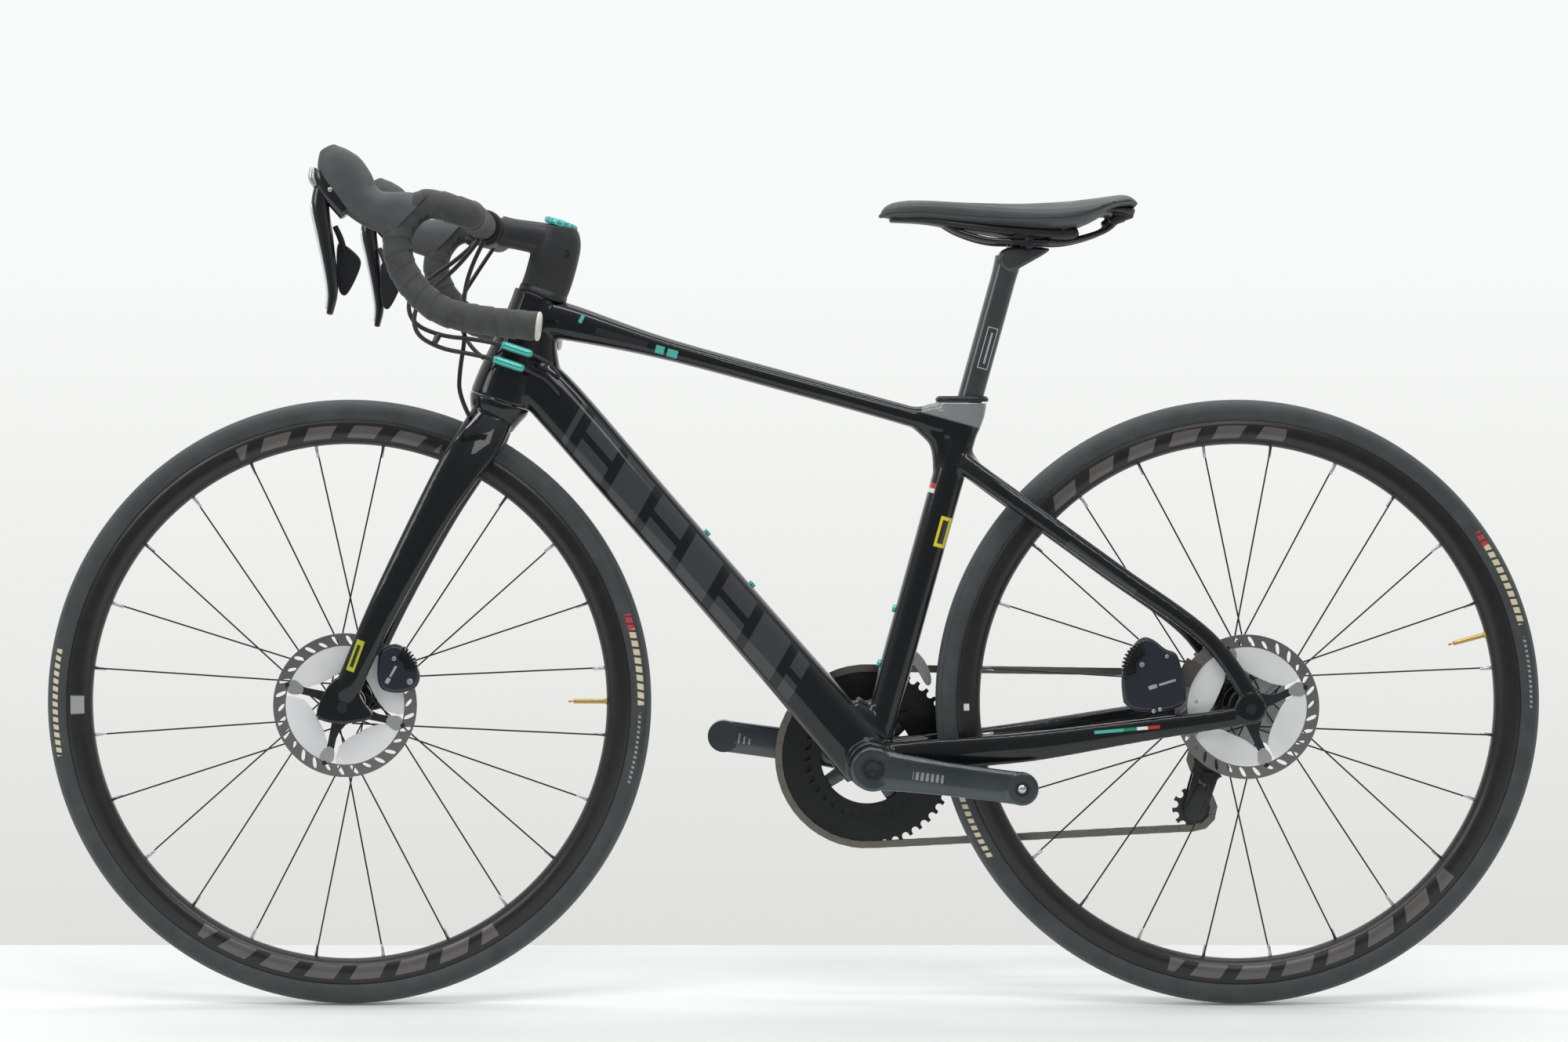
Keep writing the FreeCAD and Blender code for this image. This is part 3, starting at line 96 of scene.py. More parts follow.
def on_steerer(t, back=0, y=0):
    return STEER_FOOT + STEER_UP * t + STEER_BACK * back + LATERAL * y


def on_seat_tube(t, back=0, y=0):
    return CRANK + SEAT_UP * t + SEAT_BACK * back + LATERAL * y


def polar(centre, radius, angle, y=0):
    a = math.radians(angle)
    return np.array(centre) + np.array([radius * math.cos(a), y, radius * math.sin(a)])


def in_plane(stations):
    """Rows of a loft in the middle plane, from (x, z, half height, half width)."""
    return [(x, 0, z, up, wide) for x, z, up, wide in stations]


def at_side(side, stations):
    """Rows of a loft on one side, from (x, distance out, z, half height, half width)."""
    return [(x, side * y, z, up, wide) for x, y, z, up, wide in stations]


def at_lever(side, stations):
    """Rows of a loft in the plane of one side's lever, from (x, z, half height, half width)."""
    return [(x, side * LEVER_Y, z, up, wide) for x, z, up, wide in stations]


def up_tube(place, stations):
    """Rows of a loft along a tube, from (distance up it, half depth, half width)."""
    return [(*place(t), up, wide) for t, up, wide in stations]


def unit(v):
    v = np.array(v, float)
    return v / np.linalg.norm(v)


def lerp(a, b, share):
    return np.array(a) + (np.array(b) - np.array(a)) * share


# ------------------------------------------------------------ mesh building: (vertices, faces) pairs
def merged(*parts):
    verts, faces, start = [], [], 0
    for v, f in parts:
        verts.append(np.asarray(v, float).reshape(-1, 3))
        faces += [tuple(i + start for i in face) for face in f]
        start += len(verts[-1])
    return np.vstack(verts), faces


def smooth_rows(rows, steps):
    """Rows of numbers along a path, with a smooth curve through all of them."""
    rows = np.array([list(r) for r in rows], float)
    out = []
    for i in range(len(rows) - 1):
        p0, p1, p2, p3 = rows[max(i - 1, 0)], rows[i], rows[i + 1], rows[min(i + 2, len(rows) - 1)]
        for k in range(steps):
            t = k / steps
            out.append(0.5 * (2 * p1 + (p2 - p0) * t + (2 * p0 - 5 * p1 + 4 * p2 - p3) * t * t
                              + (3 * p1 - p0 - 3 * p2 + p3) * t ** 3))
    out.append(rows[-1])
    return np.array(out)


def outline(sides, power):
    a = 2 * np.pi * np.arange(sides) / sides
    c, s = np.cos(a), np.sin(a)
    return np.sign(c) * np.abs(c) ** (2 / power), np.sign(s) * np.abs(s) ** (2 / power)


def skin(rings, closed=False):
    """Faces over a stack of rings with the same number of points: closed along the stack, or capped."""
    rings = np.array(rings)
    count, sides = rings.shape[:2]
    faces = []
    for i in range(count if closed else count - 1):
        j = (i + 1) % count
        for k in range(sides):
            m = (k + 1) % sides
            faces.append((i * sides + k, i * sides + m, j * sides + m, j * sides + k))
    if not closed:
        faces.append(tuple(range(sides))[::-1])
        faces.append(tuple(range((count - 1) * sides, count * sides)))
    return rings.reshape(-1, 3), faces


def loft(rows, power=2.4, sides=32, steps=8, across=LATERAL, cap=0.0):
    """A skin through rows of (x, y, z, half height, half width). cap is how far each end bulges out."""
    rows = smooth_rows(rows, steps)
    centres = rows[:, :3]
    ahead = np.gradient(centres, axis=0)
    ahead /= np.linalg.norm(ahead, axis=1)[:, None]
    up = np.cross(ahead, across)
    up /= np.linalg.norm(up, axis=1)[:, None]
    side = np.cross(up, ahead)
    u, v = outline(sides, power)
    rings = [
        c + np.outer(u * r[3], a) + np.outer(v * r[4], b)
        for c, a, b, r in zip(centres, up, side, rows)
    ]
    if cap:
        for end, way in ((0, -1), (-1, 1)):
            base, centre, out = rings[end], centres[end], ahead[end] * way
            extra = []
            for share in (0.35, 0.65, 0.85, 0.96, 1.0):
                shrink = math.sqrt(max(0.0, 1 - share * share)) if share < 1 else 0.04
                extra.append(centre + (base - centre) * shrink + out * cap * share)
            rings = extra[::-1] + rings if way < 0 else rings + extra
    return skin(rings)


def pipe(points, radius, sides=16, steps=8, cap=0.0):
    """A round rod along a smooth curve through the points; radius may be one number or one for each point."""
    radii = [radius] * len(points) if np.isscalar(radius) else radius
    rows = smooth_rows([list(p) + [r] for p, r in zip(points, radii)], steps)
    centres, r = rows[:, :3], rows[:, 3]
    ahead = np.gradient(centres, axis=0)
    ahead /= np.linalg.norm(ahead, axis=1)[:, None]
    start = LATERAL if abs(ahead[0] @ LATERAL) < 0.8 else np.array([0, 0, 1.0])
    side = unit(np.cross(ahead[0], start))
    u, v = outline(sides, 2)
    rings = []
    for c, a, radius_here in zip(centres, ahead, r):
        side = unit(side - a * (side @ a))
        other = np.cross(a, side)
        rings.append(c + radius_here * (np.outer(u, side) + np.outer(v, other)))
    if cap:
        for end, way in ((0, -1), (-1, 1)):
            base, centre, out = rings[end], centres[end], ahead[end] * way
            extra = [centre + (base - centre) * k + out * cap * d
                     for k, d in ((0.9, 0.45), (0.6, 0.85), (0.05, 1))]
            rings = extra[::-1] + rings if way < 0 else rings + extra
    return skin(rings)


def lathe(profile, centre, sides=96, closed=True, axis=LATERAL):
    """A profile of (radius, place along the axis) turned about an axis through centre."""
    axis = unit(axis)
    helper = np.array([1.0, 0, 0]) if abs(axis[0]) < 0.9 else np.array([0, 0, 1.0])
    e1 = unit(np.cross(axis, helper))
    e2 = np.cross(axis, e1)
    a = 2 * np.pi * np.arange(sides) / sides
    spokes_out = np.outer(np.cos(a), e1) + np.outer(np.sin(a), e2)
    rings = [np.array(centre) + spokes_out * r + axis * y for r, y in profile]
    return skin(rings, closed=closed)


def disc(radius, low, high, centre, edge):
    """A turned disc across the bicycle, with small bevels at its edges."""
    return lathe([(0.01, low), (radius - edge, low), (radius, low + edge), (radius, high - edge),
                  (radius - edge, high), (0.01, high)], centre, 40, False)


def plate(corners, low, high, bevel=0.5, smooth=0):
    """A flat plate: an outline of (x, z) corners, from low to high across, with bevelled edges."""
    pts = np.array(corners, float)
    for _ in range(smooth):
        nxt = np.roll(pts, -1, axis=0)
        pts = np.stack([pts * 0.75 + nxt * 0.25, pts * 0.25 + nxt * 0.75], axis=1).reshape(-1, 2)
    area = 0.5 * np.sum(pts[:, 0] * np.roll(pts[:, 1], -1) - np.roll(pts[:, 0], -1) * pts[:, 1])
    if area < 0:
        pts = pts[::-1]
    edge = np.roll(pts, -1, axis=0) - np.roll(pts, 1, axis=0)
    edge /= np.linalg.norm(edge, axis=1)[:, None] + 1e-9
    inward = np.stack([-edge[:, 1], edge[:, 0]], axis=1)
    small = pts + inward * bevel
    rings = [
        np.stack([p[:, 0], np.full(len(p), y), p[:, 1]], axis=1)
        for p, y in ((small, low), (pts, low + bevel), (pts, high - bevel), (small, high))
    ]
    return skin(rings)


def turned_about(point, centre, angle, axis):
    """The point turned by an angle in degrees about an axis through centre."""
    a, k = math.radians(angle), unit(axis)
    v = point - centre
    return v * math.cos(a) + np.cross(k, v) * math.sin(a) + k * (v @ k) * (1 - math.cos(a)) + centre


def bolt(at, axis, radius, height, socket=True, sides=24):
    """A cap screw's head with a bevel and a round socket."""
    profile = [(0.01, 0), (radius, 0), (radius, height - 0.5), (radius - 0.5, height)]
    if socket:
        profile += [(radius * 0.55, height), (radius * 0.5, height * 0.45), (0.01, height * 0.4)]
    else:
        profile += [(0.01, height)]
    return lathe(profile, at, sides, False, axis)


# ------------------------------------------------------------ pieces
def placed(name, data):
    """A new object in the scene, with this data."""
    obj = bpy.data.objects.new(name, data)
    bpy.context.scene.collection.objects.link(obj)
    return obj


def mesh_object(name, part):
    """A new object from (vertices in millimetres, faces)."""
    data = bpy.data.meshes.new(name)
    data.from_pydata((np.asarray(part[0]) * MM).tolist(), [], part[1])
    return placed(name, data)


def evaluated(obj):
    """The object's shape as a mesh, with its modifiers or its bevel applied."""
    return bpy.data.meshes.new_from_object(obj.evaluated_get(bpy.context.evaluated_depsgraph_get()))


def piece(name, part, body, material, replaces=(), flat=False, sharp=None):
    """Makes a piece from (vertices, faces), with its body, material and the CAD nodes it replaces."""
    obj = mesh_object(name, part)
    obj.data.validate()
    obj.data.update()
    finish_piece(obj, body, material, replaces, flat, sharp)
    return obj


def finish_piece(obj, body, material, replaces=(), flat=False, sharp=None):
    obj.data.materials.clear()
    obj.data.materials.append(material)
    outward(obj.data)
    obj.data.polygons.foreach_set("use_smooth", [not flat] * len(obj.data.polygons))
    if sharp:
        obj.data.set_sharp_from_angle(angle=math.radians(sharp))
    if body:
        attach(obj, body)
    if replaces:
        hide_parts(*replaces)


def outward(data):
    """Turns every face of a closed mesh outwards."""
    bm = bmesh.new()
    bm.from_mesh(data)
    bmesh.ops.recalc_face_normals(bm, faces=bm.faces)
    bm.to_mesh(data)
    bm.free()


def shell(name, parts, voxel, rounds, spots=()):
    """One smooth skin over overlapping closed parts; spots are (centre, reach, extra smoothing rounds)."""
    obj = mesh_object(name, merged(*parts))
    outward(obj.data)
    modifier = obj.modifiers.new("skin", "REMESH")
    modifier.mode = "VOXEL"
    modifier.voxel_size = voxel * 1 * MM
    data = evaluated(obj)
    obj.modifiers.clear()
    obj.data = data
    relax(data, rounds, spots)
    return obj


def relax(data, rounds, spots=()):
    """Smooths a mesh without shrinking it, and more about the given spots."""
    count = len(data.vertices)
    co = np.empty(count * 3)
    data.vertices.foreach_get("co", co)
    co = co.reshape(-1, 3)
    pairs = np.empty(len(data.edges) * 2, np.int64)
    data.edges.foreach_get("vertices", pairs)
    a, b = pairs.reshape(-1, 2).T
    degree = np.bincount(np.concatenate([a, b]), minlength=count)[:, None]

    def pull(co, share):
        total = np.zeros_like(co)
        for k in range(3):
            total[:, k] = np.bincount(a, co[b, k], count) + np.bincount(b, co[a, k], count)
        return co + (total / degree - co) * share

    for _ in range(rounds):
        co = pull(pull(co, 0.5), -0.52)
    for centre, reach, extra in spots:
        away = np.linalg.norm(co - np.array(centre) * MM, axis=1) / (reach * MM)
        weight = (np.clip(1 - away, 0, 1) ** 0.5)[:, None]
        for _ in range(extra):
            co = pull(pull(co, 0.5 * weight), -0.46 * weight)
    data.vertices.foreach_set("co", co.ravel())
    data.update()


def nurbs_tube(name, route, radius, sides=4):
    """A smooth tube along a NURBS curve whose control points are the route's, as a mesh."""
    curve = bpy.data.curves.new(name, "CURVE")
    curve.dimensions = "3D"
    spline = curve.splines.new("NURBS")
    spline.points.add(len(route) - 1)
    for point, place in zip(spline.points, route):
        point.co = (*[c * MM for c in place], 1)
    spline.order_u = 3
    spline.use_endpoint_u = True
    spline.resolution_u = 12
    curve.bevel_depth = radius * MM
    curve.bevel_resolution = sides
    curve.use_fill_caps = True
    obj = placed(name, curve)
    mesh = evaluated(obj)
    bpy.data.objects.remove(obj)
    return placed(name, mesh)


# ------------------------------------------------------------ materials
class Nodes:
    """A material's node tree, with short calls for the nodes that the materials here use."""

    def __init__(self, name, **sockets):
        self.material = bpy.data.materials.new(name)
        self.material.use_nodes = True
        self.tree = self.material.node_tree
        self.shader = self.tree.nodes["Principled BSDF"]
        for socket, value in sockets.items():
            key = socket.replace("_", " ")
            self.shader.inputs[key].default_value = value
        self.coords = self.tree.nodes.new("ShaderNodeTexCoord").outputs["Object"]

    def add(self, kind, **settings):
        made = self.tree.nodes.new(kind)
        for key, value in settings.items():
            if hasattr(made, key):
                setattr(made, key, value)
            else:
                made.inputs[key].default_value = value
        return made

    def link(self, output, target):
        self.tree.links.new(output, target)

    def socket(self, name):
        return self.shader.inputs[name]

    def noise(self, scale, detail=3.0, rough=0.5, stretch=None):
        made = self.add("ShaderNodeTexNoise")
        made.inputs["Scale"].default_value = scale
        made.inputs["Detail"].default_value = detail
        made.inputs["Roughness"].default_value = rough
        source = self.coords
        if stretch:
            mapping = self.add("ShaderNodeMapping")
            mapping.inputs["Scale"].default_value = stretch
            self.link(source, mapping.inputs["Vector"])
            source = mapping.outputs["Vector"]
        self.link(source, made.inputs["Vector"])
        return made.outputs["Fac"]

    def ramp(self, source, low, high, out_low=0.0, out_high=1.0):
        made = self.add("ShaderNodeMapRange")
        for key, value in (("From Min", low), ("From Max", high), ("To Min", out_low), ("To Max", out_high)):
            made.inputs[key].default_value = value
        self.link(source, made.inputs["Value"])
        return made.outputs["Result"]

    def math(self, operation, a, b=None, c=None):
        made = self.add("ShaderNodeMath", operation=operation)
        for slot, value in zip(made.inputs, (a, b, c)):
            if value is None:
                continue
            if isinstance(value, (int, float)):
                slot.default_value = value
            else:
                self.link(value, slot)
        return made.outputs[0]

    def times(self, a, b):
        return self.math("MULTIPLY", a, b)

    def mix(self, share, a, b):
        made = self.add("ShaderNodeMix", data_type="RGBA")
        if isinstance(share, (int, float)):
            made.inputs[0].default_value = share
        else:
            self.link(share, made.inputs[0])
        for slot, value in ((made.inputs[6], a), (made.inputs[7], b)):
            if isinstance(value, (tuple, list)):
                slot.default_value = (*value[:3], 1)
            else:
                self.link(value, slot)
        return made.outputs[2]

    def mottled(self, scale, detail, low, high, one, other):
        """Two colours in patches of noise."""
        return self.mix(self.ramp(self.noise(scale, detail), low, high), one, other)

    def bump(self, height, strength, distance=0.0005):
        made = self.add("ShaderNodeBump")
        made.inputs["Strength"].default_value = strength
        made.inputs["Distance"].default_value = distance
        self.link(height, made.inputs["Height"])
        self.link(made.outputs["Normal"], self.socket("Normal"))

    def axes(self):
        made = self.add("ShaderNodeSeparateXYZ")
        self.link(self.coords, made.inputs[0])
        return made.outputs

    def colour(self, value):
        if isinstance(value, (tuple, list)):
            self.socket("Base Color").default_value = (*value[:3], 1)
        else:
            self.link(value, self.socket("Base Color"))

    def within(self, value, low, high, soft=0.0004):
        """1 where a value lies between low and high, with soft edges."""
        above = self.ramp(value, low - soft, low + soft)
        below = self.ramp(value, high - soft, high + soft, 1.0, 0.0)
        return self.times(above, below)

    def slanted(self, at, along):
        """Distance along and across a direction in the side view from a point, in metres."""
        x, _, z = self.axes()
        ax, az = along[0], along[2]
        dx = self.math("SUBTRACT", x, at[0] * MM)
        dz = self.math("SUBTRACT", z, at[2] * MM)
        far = self.math("ADD", self.times(dx, ax), self.times(dz, az))
        wide = self.math("SUBTRACT", self.times(dz, ax), self.times(dx, az))
        return far, wide

    def patch(self, at, along, length, width, side=0):
        """1 in a rectangle of the side view; side limits it to one side of the bicycle."""
        far, wide = self.slanted(at, along)
        half = width / 2 * MM
        made = self.times(self.within(far, 0, length * MM), self.within(wide, -half, half))
        if side:
            made = self.times(made, self.math("GREATER_THAN", self.times(self.axes()[1], side), 0.004))
        return made

    def around(self, centre, facing):
        """Distance from a wheel's axis in metres, and the angle in degrees from the direction `facing`."""
        a = math.radians(facing)
        along = (math.cos(a), 0, math.sin(a))
        far, wide = self.slanted(centre, along)
        reach = self.math("SQRT", self.math("ADD", self.times(far, far), self.times(wide, wide)))
        return reach, self.times(self.math("ARCTAN2", wide, far), 180 / math.pi)

    def arc(self, centre, facing, half_span, low, high):
        """1 in a sector of a ring about a wheel's axis."""
        reach, angle = self.around(centre, facing)
        return self.times(self.within(angle, -half_span, half_span, 0.15),
                         self.within(reach, low * MM, high * MM))

    def blocks(self, centre, facing, half_span, low, high, pitch, fill, slant=0.0):
        """Generic slanted blocks in a sector of a ring, where a maker's lettering would be."""
        reach, angle = self.around(centre, facing)
        lean = self.times(self.math("SUBTRACT", reach, low * MM), slant * 1000)
        beat = self.math("FRACT", self.math("DIVIDE", self.math("ADD", angle, self.math("ADD", lean, 720.0)),
                                            pitch))
        inside = self.math("LESS_THAN", beat, fill)
        ring = self.within(reach, low * MM, high * MM)
        return self.times(self.times(inside, ring), self.within(angle, -half_span, half_span, 0.1))


def plain(name, colour, rough, metal=0.0, coat=0.0, grain=0.0, scale=900.0):
    """A finish with a fine grain in its surface and a slow change in its shine."""
    made = Nodes(name, Metallic=metal, Coat_Weight=coat, Coat_Roughness=0.06)
    slow = made.noise(18, 2)
    made.link(made.ramp(slow, 0.3, 0.7, rough - 0.05, rough + 0.05), made.socket("Roughness"))
    dark = tuple(c * 0.82 for c in colour)
    made.colour(made.mix(made.ramp(slow, 0.3, 0.7), colour, dark))
    if grain:
        made.bump(made.noise(scale, 4), grain, 0.0002)
    return made.material


GLOSS_BLACK = (0.0035, 0.004, 0.005)
GRAPHITE = (0.19, 0.205, 0.205)
TURQUOISE = (0.07, 0.42, 0.36)
WHITE = (0.75, 0.76, 0.75)
CREAM = (0.62, 0.55, 0.38)
RED = (0.5, 0.03, 0.03)
GREEN = (0.02, 0.22, 0.10)


def gloss_paint(name):
    """Black paint under a clear lacquer."""
    made = Nodes(name, Roughness=0.35, Coat_Weight=1.0, Coat_Roughness=0.025, Coat_IOR=1.42)
    made.socket("Specular IOR Level").default_value = 0.12
    return made


def carbon_paint():
    """Gloss black paint with the graphic patches of the tubes, all of them plain blocks."""
    made = gloss_paint("carbon_paint")
    flake = made.noise(1400, 2)
    base = made.mix(made.ramp(flake, 0.45, 0.7), GLOSS_BLACK, tuple(c * 1.8 for c in GLOSS_BLACK))

    down = unit([DOWN_FOOT[0] - DOWN_TOP[0], 0, DOWN_FOOT[1] - DOWN_TOP[1]])
    far, wide = made.slanted((DOWN_TOP[0], 0, DOWN_TOP[1]), down)
    lean = made.math("ADD", far, made.times(wide, 0.35))
    beat = made.math("FRACT", made.math("DIVIDE", lean, 58 * MM))
    bars = made.math("LESS_THAN", beat, 0.78)
    gap = made.math("GREATER_THAN", made.math("ABSOLUTE", wide), 4 * MM)
    second = made.math("LESS_THAN", made.math("FRACT", made.math("DIVIDE", lean, 116 * MM)), 0.5)
    bars = made.times(bars, made.math("MAXIMUM", gap, second))
    run = made.times(made.within(lean, 38 * MM, 425 * MM), made.within(wide, -24 * MM, 23 * MM))
    base = made.mix(made.times(bars, run), base, (0.040, 0.041, 0.047))

    stay = unit([1, 0, -0.74])
    for at, along, length, width, side, colour in (
        ((-240, 0, 766), (0.45, 0, 0.9), 9, 4.2, 0, TURQUOISE),
        ((-155, 0, 737), (0.96, 0, -0.27), 10, 9, 0, TURQUOISE),
        ((-142, 0, 733), (0.96, 0, -0.27), 12, 9, 0, TURQUOISE),
        ((-222, 0, 757), (0.96, 0, -0.27), 60, 8, 0, (0.02, 0.02, 0.024)),
        ((330, 0, 312.5), (0.99, 0, 0.1), 32, 3.5, LEFT, TURQUOISE),
        ((362, 0, 315.8), (0.99, 0, 0.1), 14, 3.5, LEFT, GREEN),
        ((376, 0, 317.2), (0.99, 0, 0.1), 12, 3.5, LEFT, WHITE),
        ((388, 0, 318.4), (0.99, 0, 0.1), 13, 3.5, LEFT, RED),
        ((302, 0, 520), stay, 92, 9, 0, (0.03, 0.031, 0.034)),
    ):
        base = made.mix(made.patch(at, unit(along), length, width, side), base, colour)
    seat_far, seat_wide = made.slanted(CRANK, SEAT_UP)
    for low, high, left, right, colour in (
        (254, 289, -16, -3, (0.7, 0.6, 0.03)), (258, 285, -13, -6, (0.02, 0.02, 0.02)),
        (311, 316, 12, 24, WHITE), (316, 322, 12, 24, RED),
    ):
        here = made.times(made.within(seat_far, low * MM, high * MM),
                          made.within(seat_wide, left * MM, right * MM))
        here = made.times(here, made.math("LESS_THAN", made.axes()[1], 0.0))
        base = made.mix(here, base, colour)
    band = made.times(made.ramp(seat_far, 0.394, 0.396), made.math("LESS_THAN",
                                                                   made.math("ABSOLUTE", seat_wide), 0.05))
    base = made.mix(band, base, GRAPHITE)
    made.colour(base)
    made.bump(made.noise(260, 1), 0.02, 0.0003)
    return made.material


def fork_paint():
    made = gloss_paint("fork_paint")
    base = made.mottled(1400, 2, 0.45, 0.7, GLOSS_BLACK, tuple(c * 1.8 for c in GLOSS_BLACK))
    along = unit([-64, 0, -174])
    for at, length, width, colour in (
        ((-479, -60, 414), 36, 9, (0.42, 0.45, 0.03)), ((-481, -60, 409), 26, 4, (0.03, 0.03, 0.02)),
    ):
        base = made.mix(made.patch(at, along, length, width, LEFT), base, colour)
    made.colour(base)
    made.bump(made.noise(260, 1), 0.02, 0.0003)
    return made.material


def tyre_rubber(name, centre, labels):
    """Black rubber with fine sidewall ribs, and plain cream and red marks where lettering would be."""
    made = Nodes(name, Roughness=0.62)
    reach, _ = made.around(centre, 0)
    base = made.mottled(40, 3, 0.3, 0.7, (0.030, 0.034, 0.036), (0.046, 0.052, 0.055))
    tread = made.ramp(reach, 0.3345, 0.336)
    base = made.mix(tread, base, (0.060, 0.068, 0.072))
    for facing, half, low, high, pitch, fill, colour in labels:
        base = made.mix(made.blocks(centre, facing, half, low, high, pitch, fill, 0.05), base, colour)
    made.colour(base)
    ribs = made.math("FRACT", made.times(reach, 700))
    fine = made.times(made.noise(1500, 3), 0.5)
    made.bump(made.math("ADD", made.times(ribs, 0.35), fine), 0.25, 0.0002)
    return made.material


def rim_alloy(name, centre, labels, patches):
    made = Nodes(name, Metallic=0.35, Coat_Weight=0.25, Coat_Roughness=0.2)
    reach, _ = made.around(centre, 0)
    made.link(made.ramp(made.noise(60, 2), 0.3, 0.7, 0.3, 0.42), made.socket("Roughness"))
    base = made.mix(made.ramp(reach, 0.2905, 0.2935), (0.03, 0.028, 0.027), (0.012, 0.0115, 0.0115))
    for facing, half, low, high, pitch, fill, colour in labels:
        base = made.mix(made.blocks(centre, facing, half, low, high, pitch, fill, 0.12), base, colour)
    for facing, half, low, high, colour in patches:
        base = made.mix(made.arc(centre, facing, half, low, high), base, colour)
    made.colour(base)
    made.bump(made.noise(900, 2), 0.04, 0.0002)
    return made.material


def tape_cork():
    """Soft black bar tape: a fine pore pattern over a slow unevenness."""
    made = Nodes("tape_cork", Roughness=0.72)
    made.socket("Sheen Weight").default_value = 0.12
    pores = made.add("ShaderNodeTexVoronoi")
    pores.inputs["Scale"].default_value = 620
    made.link(made.coords, pores.inputs["Vector"])
    base = made.mottled(70, 3, 0.3, 0.7, (0.030, 0.030, 0.031), (0.048, 0.049, 0.050))
    made.colour(base)
    made.bump(made.math("ADD", pores.outputs["Distance"], made.noise(160, 3)), 0.35, 0.0006)
    return made.material


def hood_rubber():
    made = Nodes("hood_rubber", Roughness=0.55)
    base = made.mottled(50, 3, 0.3, 0.7, (0.045, 0.049, 0.051), (0.062, 0.068, 0.070))
    made.colour(base)
    dots = made.add("ShaderNodeTexVoronoi")
    dots.inputs["Scale"].default_value = 420
    made.link(made.coords, dots.inputs["Vector"])
    made.bump(made.math("ADD", dots.outputs["Distance"], made.noise(800, 2)), 0.18, 0.0003)
    return made.material


def leather():
    """The saddle's smooth cover, with a fine pebbled grain."""
    made = Nodes("saddle_leather", Roughness=0.42)
    made.link(made.ramp(made.noise(30, 2), 0.3, 0.7, 0.36, 0.5), made.socket("Roughness"))
    made.colour(made.mottled(14, 2, 0.35, 0.65, (0.042, 0.049, 0.051), (0.058, 0.067, 0.069)))
    grain = made.add("ShaderNodeTexVoronoi")
    grain.inputs["Scale"].default_value = 900
    made.link(made.coords, grain.inputs["Vector"])
    made.bump(made.math("ADD", grain.outputs["Distance"], made.noise(300, 2)), 0.16, 0.0003)
    return made.material


def crank_gloss():
    """Blue-grey gloss anodising, with short plain stripes on the right arm's outer face."""
    made = Nodes("crank_gloss", Metallic=0.75, Coat_Weight=0.6, Coat_Roughness=0.08)
    made.link(made.ramp(made.noise(25, 2), 0.3, 0.7, 0.22, 0.32), made.socket("Roughness"))
    base = made.mottled(8, 1, 0.35, 0.65, (0.045, 0.055, 0.062), (0.06, 0.072, 0.08))
    along = unit([math.cos(math.radians(LEFT_ARM)), 0, math.sin(math.radians(LEFT_ARM))])
    far, wide = made.slanted(CRANK, along)
    for low, high, foot, head, side in ((44, 78, -5, 4, LEFT), (-148, -146, -6, 6, RIGHT),
                                        (-142, -140, -6, 3, RIGHT),
                                        (-136, -134, -6, 1, RIGHT)):
        here = made.times(made.within(far, low * MM, high * MM), made.within(wide, foot * MM, head * MM))
        here = made.times(here, made.math("GREATER_THAN", made.times(made.axes()[1], side), 0.05))
        stripes = made.math("LESS_THAN", made.math("FRACT",
            made.math("DIVIDE", made.math("ADD", far, 1.0), 5.6 * MM)), 0.6)
        here = made.times(here, stripes) if side == LEFT else here
        base = made.mix(here, base, (0.35, 0.36, 0.37))
    made.colour(base)
    made.bump(made.noise(1200, 1), 0.02, 0.0002)
    return made.material


def brushed(name, colour, rough, centre=None):
    """Steel with fine scratches, turned about a centre if one is given."""
    made = Nodes(name, Metallic=1.0)
    if centre is None:
        streak = made.noise(300, 4, 0.6, (1, 1, 9))
    else:
        reach, _ = made.around(centre, 0)
        streaks = made.add("ShaderNodeTexNoise")
        streaks.noise_dimensions = "1D"
        streaks.inputs["Scale"].default_value = 2600
        made.link(reach, streaks.inputs["W"])
        streak = streaks.outputs["Fac"]
    made.link(made.ramp(streak, 0.2, 0.8, rough - 0.07, rough + 0.1), made.socket("Roughness"))
    made.colour(made.mix(made.ramp(streak, 0.3, 0.7), colour, tuple(c * 0.8 for c in colour)))
    made.bump(streak, 0.05, 0.0001)
    return made.material


def post_carbon():
    """The seatpost: dark satin, with a plain outlined sticker and height marks on its left side."""
    made = Nodes("post_satin", Roughness=0.3, Coat_Weight=0.5, Coat_Roughness=0.12)
    far, wide = made.slanted(CRANK, SEAT_UP)
    base = made.mottled(20, 2, 0.3, 0.7, (0.024, 0.025, 0.028), (0.036, 0.037, 0.04))
    left = made.math("LESS_THAN", made.axes()[1], 0.0)
    for low, high, foot, head, colour in (
        (460, 508, -9, 3, (0.4, 0.4, 0.4)), (461, 507, -8, 2, (0.03, 0.031, 0.034)),
        (466, 502, -4.4, -2.2, (0.35, 0.35, 0.35)),
    ):
        here = made.times(made.within(far, low * MM, high * MM, 0.0002),
                          made.within(wide, foot * MM, head * MM, 0.0002))
        base = made.mix(made.times(here, left), base, colour)
    made.colour(base)
    made.bump(made.noise(700, 2), 0.03, 0.0002)
    return made.material


